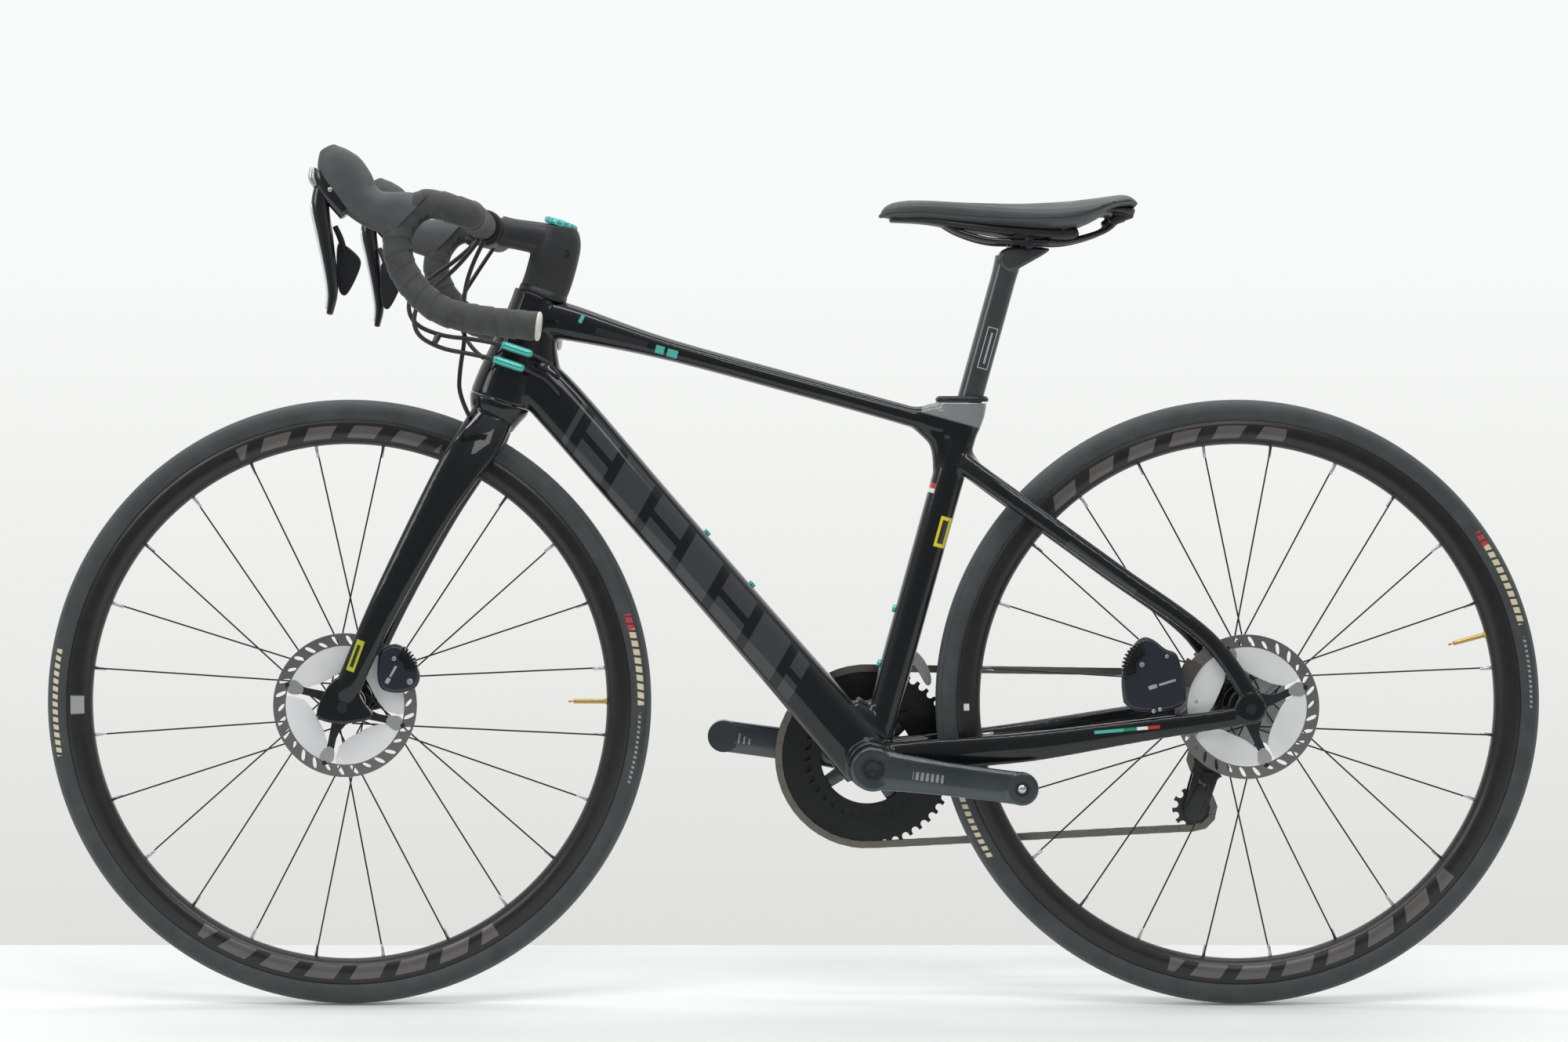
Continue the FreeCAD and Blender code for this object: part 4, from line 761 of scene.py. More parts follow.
LEFT_ARM, RIGHT_ARM = -7.2, 172.8
DOWN_TOP, DOWN_FOOT = (-273, 684.5), (60, 301)
FRONT_LABELS = ((180, 10.5, 326, 332, 1.5, 0.62, CREAM), (16, 1.6, 325, 332, 1.5, 0.7, RED),
                (7, 7.5, 325, 332, 1.7, 0.7, CREAM),
                (-9, 7, 326, 329, 1.0, 0.5, (0.3, 0.3, 0.28)))
REAR_LABELS = ((205, 7, 326, 332, 1.5, 0.62, CREAM), (34, 1.6, 325, 332, 1.5, 0.7, RED),
               (24, 8.5, 325, 332, 1.7, 0.7, CREAM),
               (6, 7, 326, 329, 1.0, 0.5, (0.3, 0.3, 0.28)))
RIM_GREY = (0.11, 0.105, 0.10)
M = {
    "carbon": carbon_paint(),
    "fork": fork_paint(),
    "front_tyre": tyre_rubber("front_tyre_rubber", FRONT, FRONT_LABELS),
    "rear_tyre": tyre_rubber("rear_tyre_rubber", REAR, REAR_LABELS),
    "front_rim": rim_alloy("front_rim_paint", FRONT, ((92, 22, 297, 311, 9.5, 0.62, RIM_GREY),
                                                      (270, 33, 296, 311, 9.5, 0.66, RIM_GREY)),
                           ((180.5, 1.9, 297, 312, (0.35, 0.36, 0.36)),)),
    "rear_rim": rim_alloy("rear_rim_paint", REAR, ((107, 27, 297, 311, 9.5, 0.62, RIM_GREY),
                                                   (288, 33, 296, 311, 9.5, 0.66, RIM_GREY)),
                          ((181, 0.7, 303, 309, WHITE),)),
    "tape": tape_cork(),
    "hood": hood_rubber(),
    "leather": leather(),
    "crank": crank_gloss(),
    "post": post_carbon(),
    "stripe": plain("caliper_stripe", (0.33, 0.35, 0.38), 0.4),
    "steel": brushed("bright_steel", (0.55, 0.55, 0.56), 0.25),
    "chain": brushed("chain_steel_worn", (0.20, 0.185, 0.165), 0.38),
    "cassette": brushed("cassette_steel_turned", (0.46, 0.46, 0.47), 0.28, REAR),
    "rotor": brushed("rotor_track", (0.24, 0.24, 0.235), 0.34),
    # pale rotor fins; the same finish also makes the painted highlight strip on the brake levers' leading
    # edges
    "fins": plain("rotor_fins", (0.80, 0.81, 0.81), 0.42, metal=0.3, grain=0.03),
    "spoke": plain("spoke_black", (0.02, 0.02, 0.021), 0.3, metal=0.6),
    "alloy": plain("alloy_satin_black", (0.016, 0.0165, 0.018), 0.38, metal=0.3, grain=0.05, scale=1500),
    "gloss": plain("gloss_black_lever", (0.011, 0.0115, 0.013), 0.16, metal=0.4, coat=0.7),
    "silver": plain("silver_paint", (0.52, 0.53, 0.54), 0.28, metal=0.85, grain=0.03),
    "matte": plain("matte_black_stem", (0.014, 0.0145, 0.0155), 0.5, grain=0.08, scale=1700),
    "ring": plain("chainring_black", (0.014, 0.0145, 0.015), 0.36, metal=0.5, grain=0.04),
    "mech": plain("mech_black_gloss", (0.012, 0.0125, 0.014), 0.2, metal=0.5, coat=0.4),
    "caliper": plain("caliper_blue_grey", (0.026, 0.031, 0.044), 0.3, metal=0.5, coat=0.3, grain=0.04),
    "hose": plain("hose_black", (0.012, 0.012, 0.0125), 0.32, grain=0.02),
    "turquoise": plain("turquoise_anodised", (0.10, 0.48, 0.43), 0.3, metal=0.55),
    "plug": plain("plug_cream", (0.62, 0.61, 0.56), 0.35),
    "base": plain("saddle_base_black", (0.013, 0.0135, 0.014), 0.4, grain=0.05),
    "pad": plain("pad_compound", (0.06, 0.05, 0.045), 0.7, grain=0.2),
    "brass": plain("brass", (0.55, 0.38, 0.14), 0.3, metal=1.0),
    "pulley": plain("pulley_plastic", (0.02, 0.02, 0.021), 0.45, grain=0.03),
    "hub": plain("hub_black_satin", (0.014, 0.0145, 0.0155), 0.3, metal=0.5, coat=0.2),
}


# ------------------------------------------------------------ frame
def frame_parts():
    """The overlapping lofts that make up the frame's one moulded skin."""
    head = up_tube(on_steerer, ((375.8, 35, 30), (400, 34, 28.5), (440, 29.5, 26), (480, 26, 24.5),
                                (502, 25.5, 24.5)))
    down = in_plane((
        (-300, 702, 26, 22), (DOWN_TOP[0], DOWN_TOP[1], 30, 24), (-150, 543, 30, 27), (0, 370.5, 31, 28),
        (DOWN_FOOT[0], DOWN_FOOT[1], 33, 30), (CRANK[0], CRANK[2], 34, 32)))
    top = in_plane((
        (-285, 772, 24, 21), (-249, 766, 20.5, 20.5), (-143, 737, 12.5, 20), (0, 698, 11.5, 18),
        (120, 664.5, 11.5, 16), (170, 650, 13, 15.5), (195, 644, 14, 15)))
    seat = up_tube(on_seat_tube, (
        (0, 20, 20), (60, 18, 17), (150, 18, 16), (300, 18, 16), (396, 18.5, 16.5)))
    fillet = in_plane((
        (128, 662, 8, 13), (150, 650, 12, 14), (166, 632, 13, 14), (174, 600, 17, 14), (168, 570, 14, 13)))
    collar = in_plane((
        (181, 636, 22, 16), (185, 652, 25.5, 17), (188, 666, 27.8, 17.6), (190, 679, 28.0, 17.6)))
    parts = [loft(head, 2.4), loft(down, 3.0), loft(top, 2.8), loft(seat, 2.5), loft(fillet, 2.3),
             loft(collar, 2.6)]
    parts.append(loft([(110, 0, 666, 10, 15), (140, 0, 660, 12.5, 16), (160, 0, 662, 14.5, 16.5),
                       (178, 0, 662, 16, 16)], 2.6))
    parts.append(loft([(188, 0, 640, 8, 12), (194, 0, 618, 9, 13), (206, 0, 600, 9, 13),
                       (222, 0, 588, 6, 12)], 2.4))
    for side in (LEFT, RIGHT):
        upper = at_side(side, (
            (186, 8, 612, 13, 9), (205, 17, 598, 11, 8), (242, 29, 571, 10.5, 7), (356, 47, 488.5, 10, 6.5),
            (455, 63, 416, 9.5, 6), (505, 75, 345, 10, 4.5)))
        lower = at_side(side, (
            (100, 22, 276, 20, 10), (150, 27, 281, 19, 7), (198, 34, 287, 17, 7), (271, 48, 296, 16, 8),
            (378, 63, 314, 12.5, 7), (481, 73, 330, 10, 4.8), (500, 75, 336, 12, 4)))
        parts += [loft(upper, 2.4), loft(lower, 2.8)]
        parts.append(disc(17, -4, 4, (REAR[0], side * 75, REAR[2]), edge=1))
    parts.append(disc(27, -43, 43, CRANK, edge=1.5))
    parts.append(loft([(62, 0, 330, 20, 22), (88, 0, 316, 22, 20), (104, 0, 330, 18, 16)], 2.2))
    parts.append(loft([(-292, 0, 762, 26, 20), (-293, 0, 735, 27, 20), (-291, 0, 705, 30, 21)], 2.3))
    return parts


frame_shell = shell("frame_shell", frame_parts(), 1.9, 14,
                    spots=(((-266, 0, 735), 60, 40), ((86, 0, 300), 70, 30), ((172, 0, 620), 70, 24),
                           ((206, 0, 618), 50, 30), ((100, 0, 330), 70, 40)))
finish_piece(frame_shell, "frame", M["carbon"], ("main_frame", "chainstays", "seatstays"))


def seat_collar():
    """The dark lip that closes the top of the frame's collar round the seatpost, level with the ground."""
    lip = loft([(190, 0, 677.5, 28.8, 18.2), (190, 0, 679.0, 29.6, 18.8), (190, 0, 681.5, 29.4, 18.6),
                (190, 0, 684.0, 26.5, 17)],
               2.6, 48, 3)
    piece("seat_collar_lip", lip, "frame", M["alloy"], ("seat_clamp",))
    seam = loft([(189.2, 0, 675.0, 28.6, 18.1), (189.2, 0, 675.8, 28.6, 18.1)], 2.6, 48, 2)
    piece("seat_collar_seam", seam, "frame", M["silver"])


seat_collar()


# ------------------------------------------------------------ fork
def fork_parts():
    crown = up_tube(on_steerer, ((345, 24, 20), (358, 29, 26), (368, 33.5, 29.5), (375.3, 34.8, 30)))
    parts = [loft(crown, 2.4)]
    for side in (LEFT, RIGHT):
        blade = at_side(side, (
            (-337, 12, 664, 24, 12), (-352, 29, 634, 26, 10), (-375, 41, 600, 24, 8.5),
            (-408, 50, 542, 20, 8.5),
            (-456, 57, 448, 16.5, 7.5), (-489, 58, 374, 14.5, 6), (-500, 56, 344, 15, 5.5),
            (-504, 56, 330, 16, 5.5)))
        parts.append(loft(blade, 2.4, cap=3))
        tip = plate([(-533, 330), (-519, 323), (-500, 321), (-470, 325), (-466, 332), (-480, 348),
                     (-488, 374), (-512, 374)],
                    side * 56 - 5.5, side * 56 + 5.5, 1.0, smooth=2)
        parts.append(tip)
    return parts


fork_shell = shell("fork_shell", fork_parts(), 1.6, 12, spots=(((-345, 0, 655), 50, 24),))
finish_piece(fork_shell, "fork", M["fork"], ("fork",))


# ------------------------------------------------------------ wheels
TREAD_R, SHOULDER_R, SIDEWALL_R = 14.0, 13.6, 13.9


def tyre_profile():
    """The tyre's cross-section: smooth sidewalls, a shallow groove at each shoulder and a proud tread."""
    points = []
    for degree in range(-150, 151, 6):
        a = math.radians(degree)
        r = TREAD_R if abs(degree) < 42 else SHOULDER_R if abs(degree) in (42, 48) else SIDEWALL_R
        points.append((TYRE_OUTER - TREAD_R + r * math.cos(a), r * math.sin(a)))
    return points


RIM_PROFILE = ((317, 10.4), (316, 11.3), (312, 12.0), (305, 12.25), (299, 11.6), (294, 8.2), (291, 4.6),
               (289.8, 2.2),
               (289.8, -2.2), (291, -4.6), (294, -8.2), (299, -11.6), (305, -12.25), (312, -12.0),
               (316, -11.3), (317, -10.4))


def valve(centre, angle):
    """A presta valve: its threaded stem with a nut, the core and its tip."""
    out = unit([math.cos(math.radians(angle)), 0, math.sin(math.radians(angle))])
    steps = [(0.01, 246.5), (1.1, 246.5), (1.3, 247.2), (1.3, 249.6), (0.8, 249.8), (0.8, 252.2),
             (2.2, 252.4), (2.6, 253)]
    for k in range(34):
        r = 253.5 + k
        steps += [(2.75, r), (2.5, r + 0.5)]
    steps += [(2.75, 288), (3.6, 288.2), (3.6, 291), (0.01, 291)]
    return lathe(steps, centre, 16, False, out)


def wheel(name, body, centre, hub_flanges, valve_angle, tyre_material, rim_material):
    piece(f"{name}_tyre_skin", lathe(tyre_profile(), centre, 220), body, tyre_material,
          (f"{name}_tyre",))
    piece(f"{name}_rim_skin", lathe(RIM_PROFILE, centre, 220), body, rim_material, (f"{name}_rim",),
          sharp=50)
    nipples = []
    for i in range(SPOKES):
        angle = (i + 0.5) * 360 / SPOKES
        low, high = hub_flanges
        tip = polar(centre, 291, angle)
        lean = polar(centre, 277, angle, (low if i % 2 else high) * 0.05)
        nipples.append(pipe([tip, lean], [2.0, 1.5], 10, 1, cap=0.4))
    piece(f"{name}_nipples", merged(*nipples), body, M["silver"])
    piece(f"{name}_valve", valve(centre, valve_angle), body, M["brass"])


def ring_plate(centre, spots, low, high, bevel, smooth=0):
    """A plate in a wheel's plane, with its corners given as (radius, angle) about the centre."""
    corners = [polar(centre, reach, angle) for reach, angle in spots]
    return plate([(c[0], c[2]) for c in corners], low, high, bevel, smooth)


def rotor_parts(centre, y, radius, first_arm):
    """A two-piece rotor: a slotted steel track, pale fins inside it, and four arms to a lock ring."""
    track = lathe([(66, y - 0.85), (radius - 0.3, y - 0.85), (radius, y - 0.5), (radius, y + 0.5),
                   (radius - 0.3, y + 0.85), (66, y + 0.85)], centre, 180)
    slots = []
    for i in range(30):
        a, (inner, outer) = i * 12, (67.3, 77.5) if i % 3 else (67.5, 74.5)
        slots.append(ring_plate(centre, ((inner, a - 2.4), (inner, a + 1.6), (outer, a + 6.3),
                                         (outer, a + 2.6)),
                                y - 3, y + 3, 0.01, 2))
    fins, arms, brackets = [], [], []
    for k in range(4):
        a = first_arm + k * 90
        b = a + 45
        arc = [(66.5, b + d) for d in range(-36, 37, 4)]
        inside = [(61, b + 38), (46, b + 36), (37, b + 22), (34, b), (37, b - 22), (46, b - 36), (61, b - 38)]
        fins.append(ring_plate(centre, arc + inside, y - 0.7, y + 0.7, 0.4))
        arm = ((15, a - 40), (30, a - 15), (52, a - 6), (69.5, a - 7), (69.5, a + 2), (54, a + 3),
               (33, a + 2),
               (22, a + 20), (15, a + 40))
        arms.append(ring_plate(centre, arm, y - 1.1, y + 1.1, 0.4, 1))
        arms.append(bolt(polar(centre, 68, a - 2.5, y - 1.4), -LATERAL, 2.6, 0.8, False, 14))
        bracket = ((49, a - 7.5), (67.5, a - 11), (67.5, a + 6), (49, a + 4))
        brackets.append(ring_plate(centre, bracket, y - 1.5, y + 1.5, 0.3, 2))
    lock = lathe([(11, y - 3), (19.5, y - 3), (21, y - 1.5), (21, y + 1.2), (11, y + 1.2)], centre, 40)
    return track, slots, fins, arms + [lock], brackets


def carved(name, part, cutters):
    """The part with the cutters taken away from it."""
    made, tool = mesh_object(name, part), mesh_object(name + "_tool", merged(*cutters))
    outward(made.data)
    outward(tool.data)
    modifier = made.modifiers.new("cut", "BOOLEAN")
    modifier.operation, modifier.solver, modifier.object = "DIFFERENCE", "EXACT", tool
    data = evaluated(made)
    made.modifiers.clear()
    made.data = data
    bpy.data.objects.remove(tool)
    return made


def rotor(name, body, centre, y, first_arm):
    radius = (box(f"{name}_rotor")[1] - box(f"{name}_rotor")[0])[2] / 2
    track, slots, fins, arms, brackets = rotor_parts(centre, y, radius, first_arm)
    made = carved(f"{name}_rotor_track", track, slots)
    finish_piece(made, body, M["rotor"], (f"{name}_rotor",), sharp=40)
    piece(f"{name}_rotor_fins", merged(*fins), body, M["fins"], sharp=35)
    piece(f"{name}_rotor_arms", merged(*arms), body, M["alloy"], sharp=35)
    piece(f"{name}_rotor_brackets", merged(*brackets), body, M["silver"], sharp=35)


wheel("front", "front_wheel", FRONT, (-24, 33), 0, M["front_tyre"], M["front_rim"])
wheel("rear", "rear_wheel", REAR, (-36, 17), 15, M["rear_tyre"], M["rear_rim"])
rotor("front", "front_wheel", FRONT, FRONT_ROTOR_Y, 73)
rotor("rear", "rear_wheel", REAR, REAR_ROTOR_Y, 21)


# ------------------------------------------------------------ saddle and seatpost
def by_height(stations):
    """Rows of a loft from (x, bottom, top, half width)."""
    return [(x, 0, (low + high) / 2, (high - low) / 2, wide) for x, low, high, wide in stations]


SADDLE_ROWS = by_height((
    (99, 884.5, 889.5, 7), (107, 883, 898.5, 15), (120, 882, 903, 18), (150, 881, 905, 19.5),
    (200, 875.5, 902.5, 26),
    (250, 871, 900.5, 42), (300, 869, 902, 62), (325, 876, 904.5, 70), (350, 889, 907.5, 71),
    (368, 893, 909, 65),
    (379, 893, 902, 52)))
BASE_ROWS = by_height((
    (110, 879.5, 886, 12), (150, 877, 885, 15), (195, 869, 880, 20), (240, 862, 876, 27),
    (285, 857.5, 874, 34),
    (309, 857.5, 874, 37), (316, 862, 874, 34)))
TAIL_ROWS = by_height(((298, 868, 880, 40), (325, 879, 887, 52), (350, 887, 894, 54), (372, 885, 896, 44),
                       (379, 884, 894, 36)))


def saddle():
    """The padded cover with its pressure channel and stitched side seams, over a plastic base."""
    cover = loft(SADDLE_ROWS, 2.5, 64, 12, cap=3)
    verts = cover[0].copy()
    x, y, z = verts.T
    channel_depth, channel_width = 5.0, 9.0
    ends = np.clip((x - 130) / 60, 0, 1) * np.clip((372 - x) / 40, 0, 1)
    dip = channel_depth * np.exp(-(y / channel_width) ** 2) * ends
    crown = 0.0016 * np.abs(y) ** 1.9 * np.clip((x - 180) / 90, 0, 1)
    top = z > np.interp(x, [r[0] for r in SADDLE_ROWS], [r[2] for r in SADDLE_ROWS])
    verts[:, 2] = z - np.where(top, dip + crown * 0.45, 0)
    made = piece("saddle_padding", (verts, cover[1]), "saddle_post", M["leather"],
                 ("saddle_cover",))
    seams = []
    for side in (LEFT, RIGHT):
        route = []
        for row in smooth_rows(SADDLE_ROWS, 4)[3:-3]:
            route.append((row[0], side * (row[4] - 0.5), row[2] - row[3] * 0.28))
        seams.append(pipe(route, 0.55, 6, 1))
    piece("saddle_seam", merged(*seams), "saddle_post", M["base"])
    parts = [loft(BASE_ROWS, 3.2, 40, 10, cap=2), loft(TAIL_ROWS, 3.0, 40, 8, cap=1.5)]
    parts += [loft([(354, side * 29, 878, 5, 5.5), (366, side * 29, 885, 6.5, 6),
                    (376, side * 27, 888, 6, 6)], 2.8, 24, 6, cap=2)
              for side in (LEFT, RIGHT)]
    shell_piece = shell("saddle_base_skin", parts, 1.2, 5)
    finish_piece(shell_piece, "saddle_post", M["base"], ("saddle_shell",))
    rails = []
    for side in (LEFT, RIGHT):
        route = [(x, side * y, z) for x, y, z in ((158, 8, 884), (186, 13, 868), (222, 20, 858),
                                                  (264, 22, 857.4), (305, 22, 857),
                                                 (345, 27, 868), (362, 30, 882))]
        rails.append(pipe(route, 3.5, 16, 8, cap=0.5))
    piece("saddle_rail_pair", merged(*rails), "saddle_post", M["gloss"], ("saddle_rails",))


def post():
    """The D-shaped seatpost rising into a forged head, with the clamp's plates and two bolts."""
    post_low, post_high = 330, 588
    rows = up_tube(on_seat_tube, (
        (post_low, 14.2, 13.2), (post_high - 60, 14.2, 13.2), (post_high - 22, 14.2, 13.2),
        (post_high, 15.5, 13.8)))
    head = plate([(228, 838), (237, 853), (288, 851), (287, 846), (262, 832), (240, 820)], -15, 15, 3,
                 smooth=2)
    made = shell("seatpost_skin", [loft(rows, 2.6), head], 1.2, 8)
    finish_piece(made, "saddle_post", M["post"], ("seatpost",))
    clamp = [plate([(243, 862), (248, 866), (278, 866), (284, 862), (280, 859), (246, 859)], side * 22 - 7,
                   side * 22 + 7, 0.8)
             for side in (LEFT, RIGHT)]
    clamp += [plate([(244, 853), (282, 853), (286, 856.5), (281, 858.5), (246, 858.5), (241, 856.5)],
                    side * 20 - 11, side * 20 + 11, 0.8)
              for side in (LEFT, RIGHT)]
    clamp.append(lathe([(0.01, -31), (5, -31), (6.5, -30), (6.5, 30), (5, 31), (0.01, 31)], (263, 0, 855), 28,
                       False))
    clamp += [bolt((263, side * 31, 855), LATERAL * side, 5.2, 2.5) for side in (LEFT, RIGHT)]
    piece("rail_clamp_plates", merged(*clamp), "saddle_post", M["alloy"], ("rail_clamp",),
          sharp=40)


saddle()
post()


# ------------------------------------------------------------ cockpit
BAR_SIDE = ((-345.4, 172, 872), (-353, 197, 876), (-397, 203, 884), (-422, 202, 852), (-415, 204, 812),
            (-380, 208, 775),
            (-330, 210, 762), (-276, 212, 756))


def bar_route(side):
    return [(x, side * y, z) for x, y, z in BAR_SIDE]


def tape():
    """Each side's tape, wound in overlapping turns that leave a small step at each edge."""
    step, pitch, sides = 1.2, 17.0, 36
    inner, rise, edge_drop = 14.75, 1.15, 0.5
    wound = []
    for side in (LEFT, RIGHT):
        route = [(-346, side * 62, 872), (-346, side * 110, 872)] + bar_route(side)
        rows = smooth_rows(route, 40)
        far = np.concatenate([[0], np.cumsum(np.linalg.norm(np.diff(rows, axis=0), axis=1))])
        count = int(far[-1] / step)
        places = np.stack([np.interp(np.linspace(0, far[-1], count), far, rows[:, k]) for k in range(3)],
                          axis=1)
        ahead = np.gradient(places, axis=0)
        ahead /= np.linalg.norm(ahead, axis=1)[:, None]
        normal = unit(np.cross(ahead[0], [0, 0, 1.0]))
        rings = []
        for i, (centre, way) in enumerate(zip(places, ahead)):
            normal = unit(normal - way * (normal @ way))
            other = np.cross(way, normal)
            ring = []
            for k in range(sides):
                a = 2 * math.pi * k / sides
                turn = (i * step / pitch + side * k / sides) % 1.0
                r = inner + rise * turn ** 0.8 - (edge_drop if turn > 0.94 else 0)
                ring.append(centre + r * (math.cos(a) * normal + math.sin(a) * other))
            rings.append(ring)
        wound.append(skin(rings))
    piece("bar_tape_wraps", merged(*wound), "fork", M["tape"], ("bar_tape",))


def plugs():
    """The bar end plugs: a domed cream face with a rim."""
    made = []
    for side in (LEFT, RIGHT):
        route = bar_route(side)
        way = unit(np.array(route[-1]) - np.array(route[-2]))
        foot = np.array(route[-1])
        made.append(lathe([(0.01, 0), (14.6, 0), (15.6, 1.2), (15.2, 3.2), (13.0, 4.4), (7.0, 4.9),
                           (0.01, 5)], foot, 40, False, way))
    piece("bar_plug_caps", merged(*made), "fork", M["plug"], ("bar_end_plugs",), sharp=50)


def hoods():
    """Rubber lever hoods with a raised horn, and the glossy lever housing's nose under each."""
    rubber, nose, mark = [], [], []
    for side in (LEFT, RIGHT):
        rows = at_lever(side, (
            (-384, 868, 26, 17.5), (-415, 872.5, 25, 17.5), (-444, 878, 21, 16.5), (-461, 889, 21.5, 16),
            (-472, 904, 25, 15.5),
            (-483, 920, 24.5, 15), (-491, 933, 18, 13), (-496, 942, 10, 8.5)))
        rubber.append(loft(rows, 2.5, 40, 10, cap=3))
        nose.append(loft([(-470, side * LEVER_Y, 884, 20, 12.5), (-486, side * LEVER_Y, 898, 16.5, 13),
                          (-498, side * LEVER_Y, 911, 12, 12),
                          (-504, side * LEVER_Y, 919, 7, 10)], 2.8, 36, 8, cap=3))
        mark.append(loft([(-508, side * LEVER_Y, 903.5, 3.4, 11), (-511.5, side * LEVER_Y, 912, 4.6, 11.6),
                          (-511, side * LEVER_Y, 922, 3.8, 9.5)],
                         2.8, 24, 6, cap=1.2))
        mark.append(bolt((-492, side * 213, 899), LATERAL * side, 2.6, 2.2, False, 16))
    hood = shell("hood_skins", rubber, 1.1, 6)
    # the rubber ends on a slant, where the tape comes out from under it
    edge, out = np.array([-388.0, 0, 894]) * MM, unit([42, 0, -40])
    for vertex in hood.data.vertices:
        past = (np.array(vertex.co) - edge) @ out
        if past > 0:
            vertex.co = Vector(np.array(vertex.co) - out * past)
    finish_piece(hood, "fork", M["hood"], ("lever_hoods",))
    piece("lever_housings", merged(*nose), "fork", M["gloss"])
    piece("lever_name_caps", merged(*mark), "fork", M["silver"])


def levers():
    """The brake levers' curved blades with a pale painted highlight strip along the leading edge, and the
    shift paddles behind them.
    """
    for side, word in ((LEFT, "left"), (RIGHT, "right")):
        rows = at_lever(side, (
            (-500, 910, 8, 6.5), (-504, 884, 9.5, 8), (-499, 852, 8.2, 9), (-493, 814, 6.4, 8.5),
            (-491, 790, 5.2, 7.5),
            (-494, 770, 3.6, 6)))
        piece(f"lever_blade_{word}", loft(rows, 2.4, 28, 12, cap=2), f"brake_lever_{word}",
              M["gloss"],
              (f"brake_lever_{word}",))
        # painted highlight: a pale strip along each blade's leading edge, standing for the light it catches
        # there
        edge = [(x - up * 0.92, side * LEVER_Y, z, 2.2, wide * 0.8)
                for x, _, z, up, wide in smooth_rows(rows, 3)[3:-1]]
        piece(f"lever_edge_painted_highlight_{word}", loft(edge, 2.2, 16, 2, cap=0.6), f"brake_lever_{word}",
              M["fins"])
        face = plate([(-488, 847), (-478, 842), (-463, 829), (-463, 818), (-477, 789), (-484, 789),
                      (-488, 800), (-489, 825)],
                     side * 189 - 2.2, side * 189 + 2.2, 1.0, smooth=3)
        stalk = pipe([(-490, side * 191, 862), (-484, side * 190, 848), (-480, side * 189, 832)],
                     [3, 3.4, 3.2], 14, 6, cap=0.5)
        piece(f"paddle_blade_{word}", merged(face, stalk), f"shift_paddle_{word}", M["alloy"],
              (f"shift_paddle_{word}",), sharp=45)


tape()
plugs()
hoods()
levers()


# ------------------------------------------------------------ stem, headset and cables
def stem():
    """The stem's matt forging over the steerer, its clamp bolts, and the notched turquoise cap."""
    top = on_steerer(582.5)
    arm_root, arm_tip = on_steerer(567, 6), np.array([-346.0, 0, 872])
    column = loft([(*on_steerer(507, 6.5), 26.8, 22.4), (*on_steerer(524, 6.8), 27.2, 21),
                   (*on_steerer(546, 5.5), 27.3, 20.5),
                   (*on_steerer(564, 4), 26.2, 20), (*on_steerer(577, 1.5), 22.5, 19),
                   (*on_steerer(583, 0.3), 18.6, 18)], 2.3)
    arm = loft([(*arm_root, 17.5, 18), (*lerp(arm_root, arm_tip, 0.3), 18, 17),
                (*lerp(arm_root, arm_tip, 0.62), 17, 17),
                (*lerp(arm_root, arm_tip, 0.8), 18, 20)], 2.6)
    clamp = lathe([(0.01, -23), (19.5, -23), (20.5, -22), (20.5, 22), (19.5, 23), (0.01, 23)], arm_tip, 48,
                  False)
    made = shell("stem_skin", [column, arm, clamp], 1.3, 8)
    finish_piece(made, "fork", M["matte"], ("stem", "stem_faceplate"))
    bolts = [bolt(on_steerer(556, 18, side * 17.4), LATERAL * side, 4.4, 1.6) for side in (LEFT, RIGHT)]
    for y in (-15, 15):
        for z in (858, 886):
            bolts.append(bolt((-364.5, y, z), (-1, 0, 0), 4.2, 3))
    piece("stem_bolts", merged(*bolts), "fork", M["alloy"], sharp=40)
    cover = loft([(*on_steerer(t, 6.5), up, wide) for t, up, wide in (
        (501.5, 27.0, 24.6), (503.6, 27.9, 25), (507.5, 27.7, 23.6), (509.5, 27.0, 22.6))], 2.3, steps=3)
    piece("headset_upper_cover", cover, "fork", M["alloy"], ("headset_covers",), sharp=45)
    ring = lathe([(0.01, 0), (17.2, 0), (18.0, 0.8), (18.0, 6.0), (17.2, 7), (12.5, 7), (12, 5.8),
                  (0.01, 5.8)], top, 60, False, STEER_UP)
    teeth = []
    for k in range(CAP_TEETH):
        spot = turned_about(on_steerer(583.4, 17.2), top, k * 360 / CAP_TEETH, STEER_UP)
        teeth.append(lathe([(0.01, 0), (2.0, 0), (2.0, 4.6), (1.4, 5.4), (0.01, 5.4)], spot, 12, False,
                           STEER_UP))
    piece("top_cap_ring", merged(ring, *teeth), "fork", M["turquoise"], sharp=45)
    piece("top_cap_bolt", bolt(on_steerer(588), STEER_UP, 4.6, 2.6), "fork", M["alloy"],
          sharp=40)


HOSE = 2.5
FRONT_HOSE = ((-343, -66, 855), (-358, -62, 828), (-368, -52, 790), (-366, -40, 750), (-373, -35, 712),
              (-374, -33, 684), (-362, -29, 660))
UPPER_SHIFT = ((-348, -80, 855), (-368, -83, 835), (-402, -82, 812), (-427, -74, 792), (-424, -62, 764),
               (-392, -52, 750),
               (-355, -47, 747), (-325, -44, 741))
LOWER_SHIFT = ((-346, -92, 855), (-362, -95, 832), (-392, -94, 805), (-418, -84, 782), (-420, -70, 752),
               (-392, -58, 736),
               (-362, -52, 731), (-334, -47, 725))
REAR_HOSE = ((-343, 66, 855), (-362, 70, 828), (-385, 66, 790), (-376, 52, 748), (-345, 43, 720),
             (-305, 36, 702), (-272, 24, 690))
REAR_SHIFT = ((470, 71, 326), (492, 80, 322), (528, 86, 322), (548, 86, 308), (540, 86, 290), (528, 85, 283))


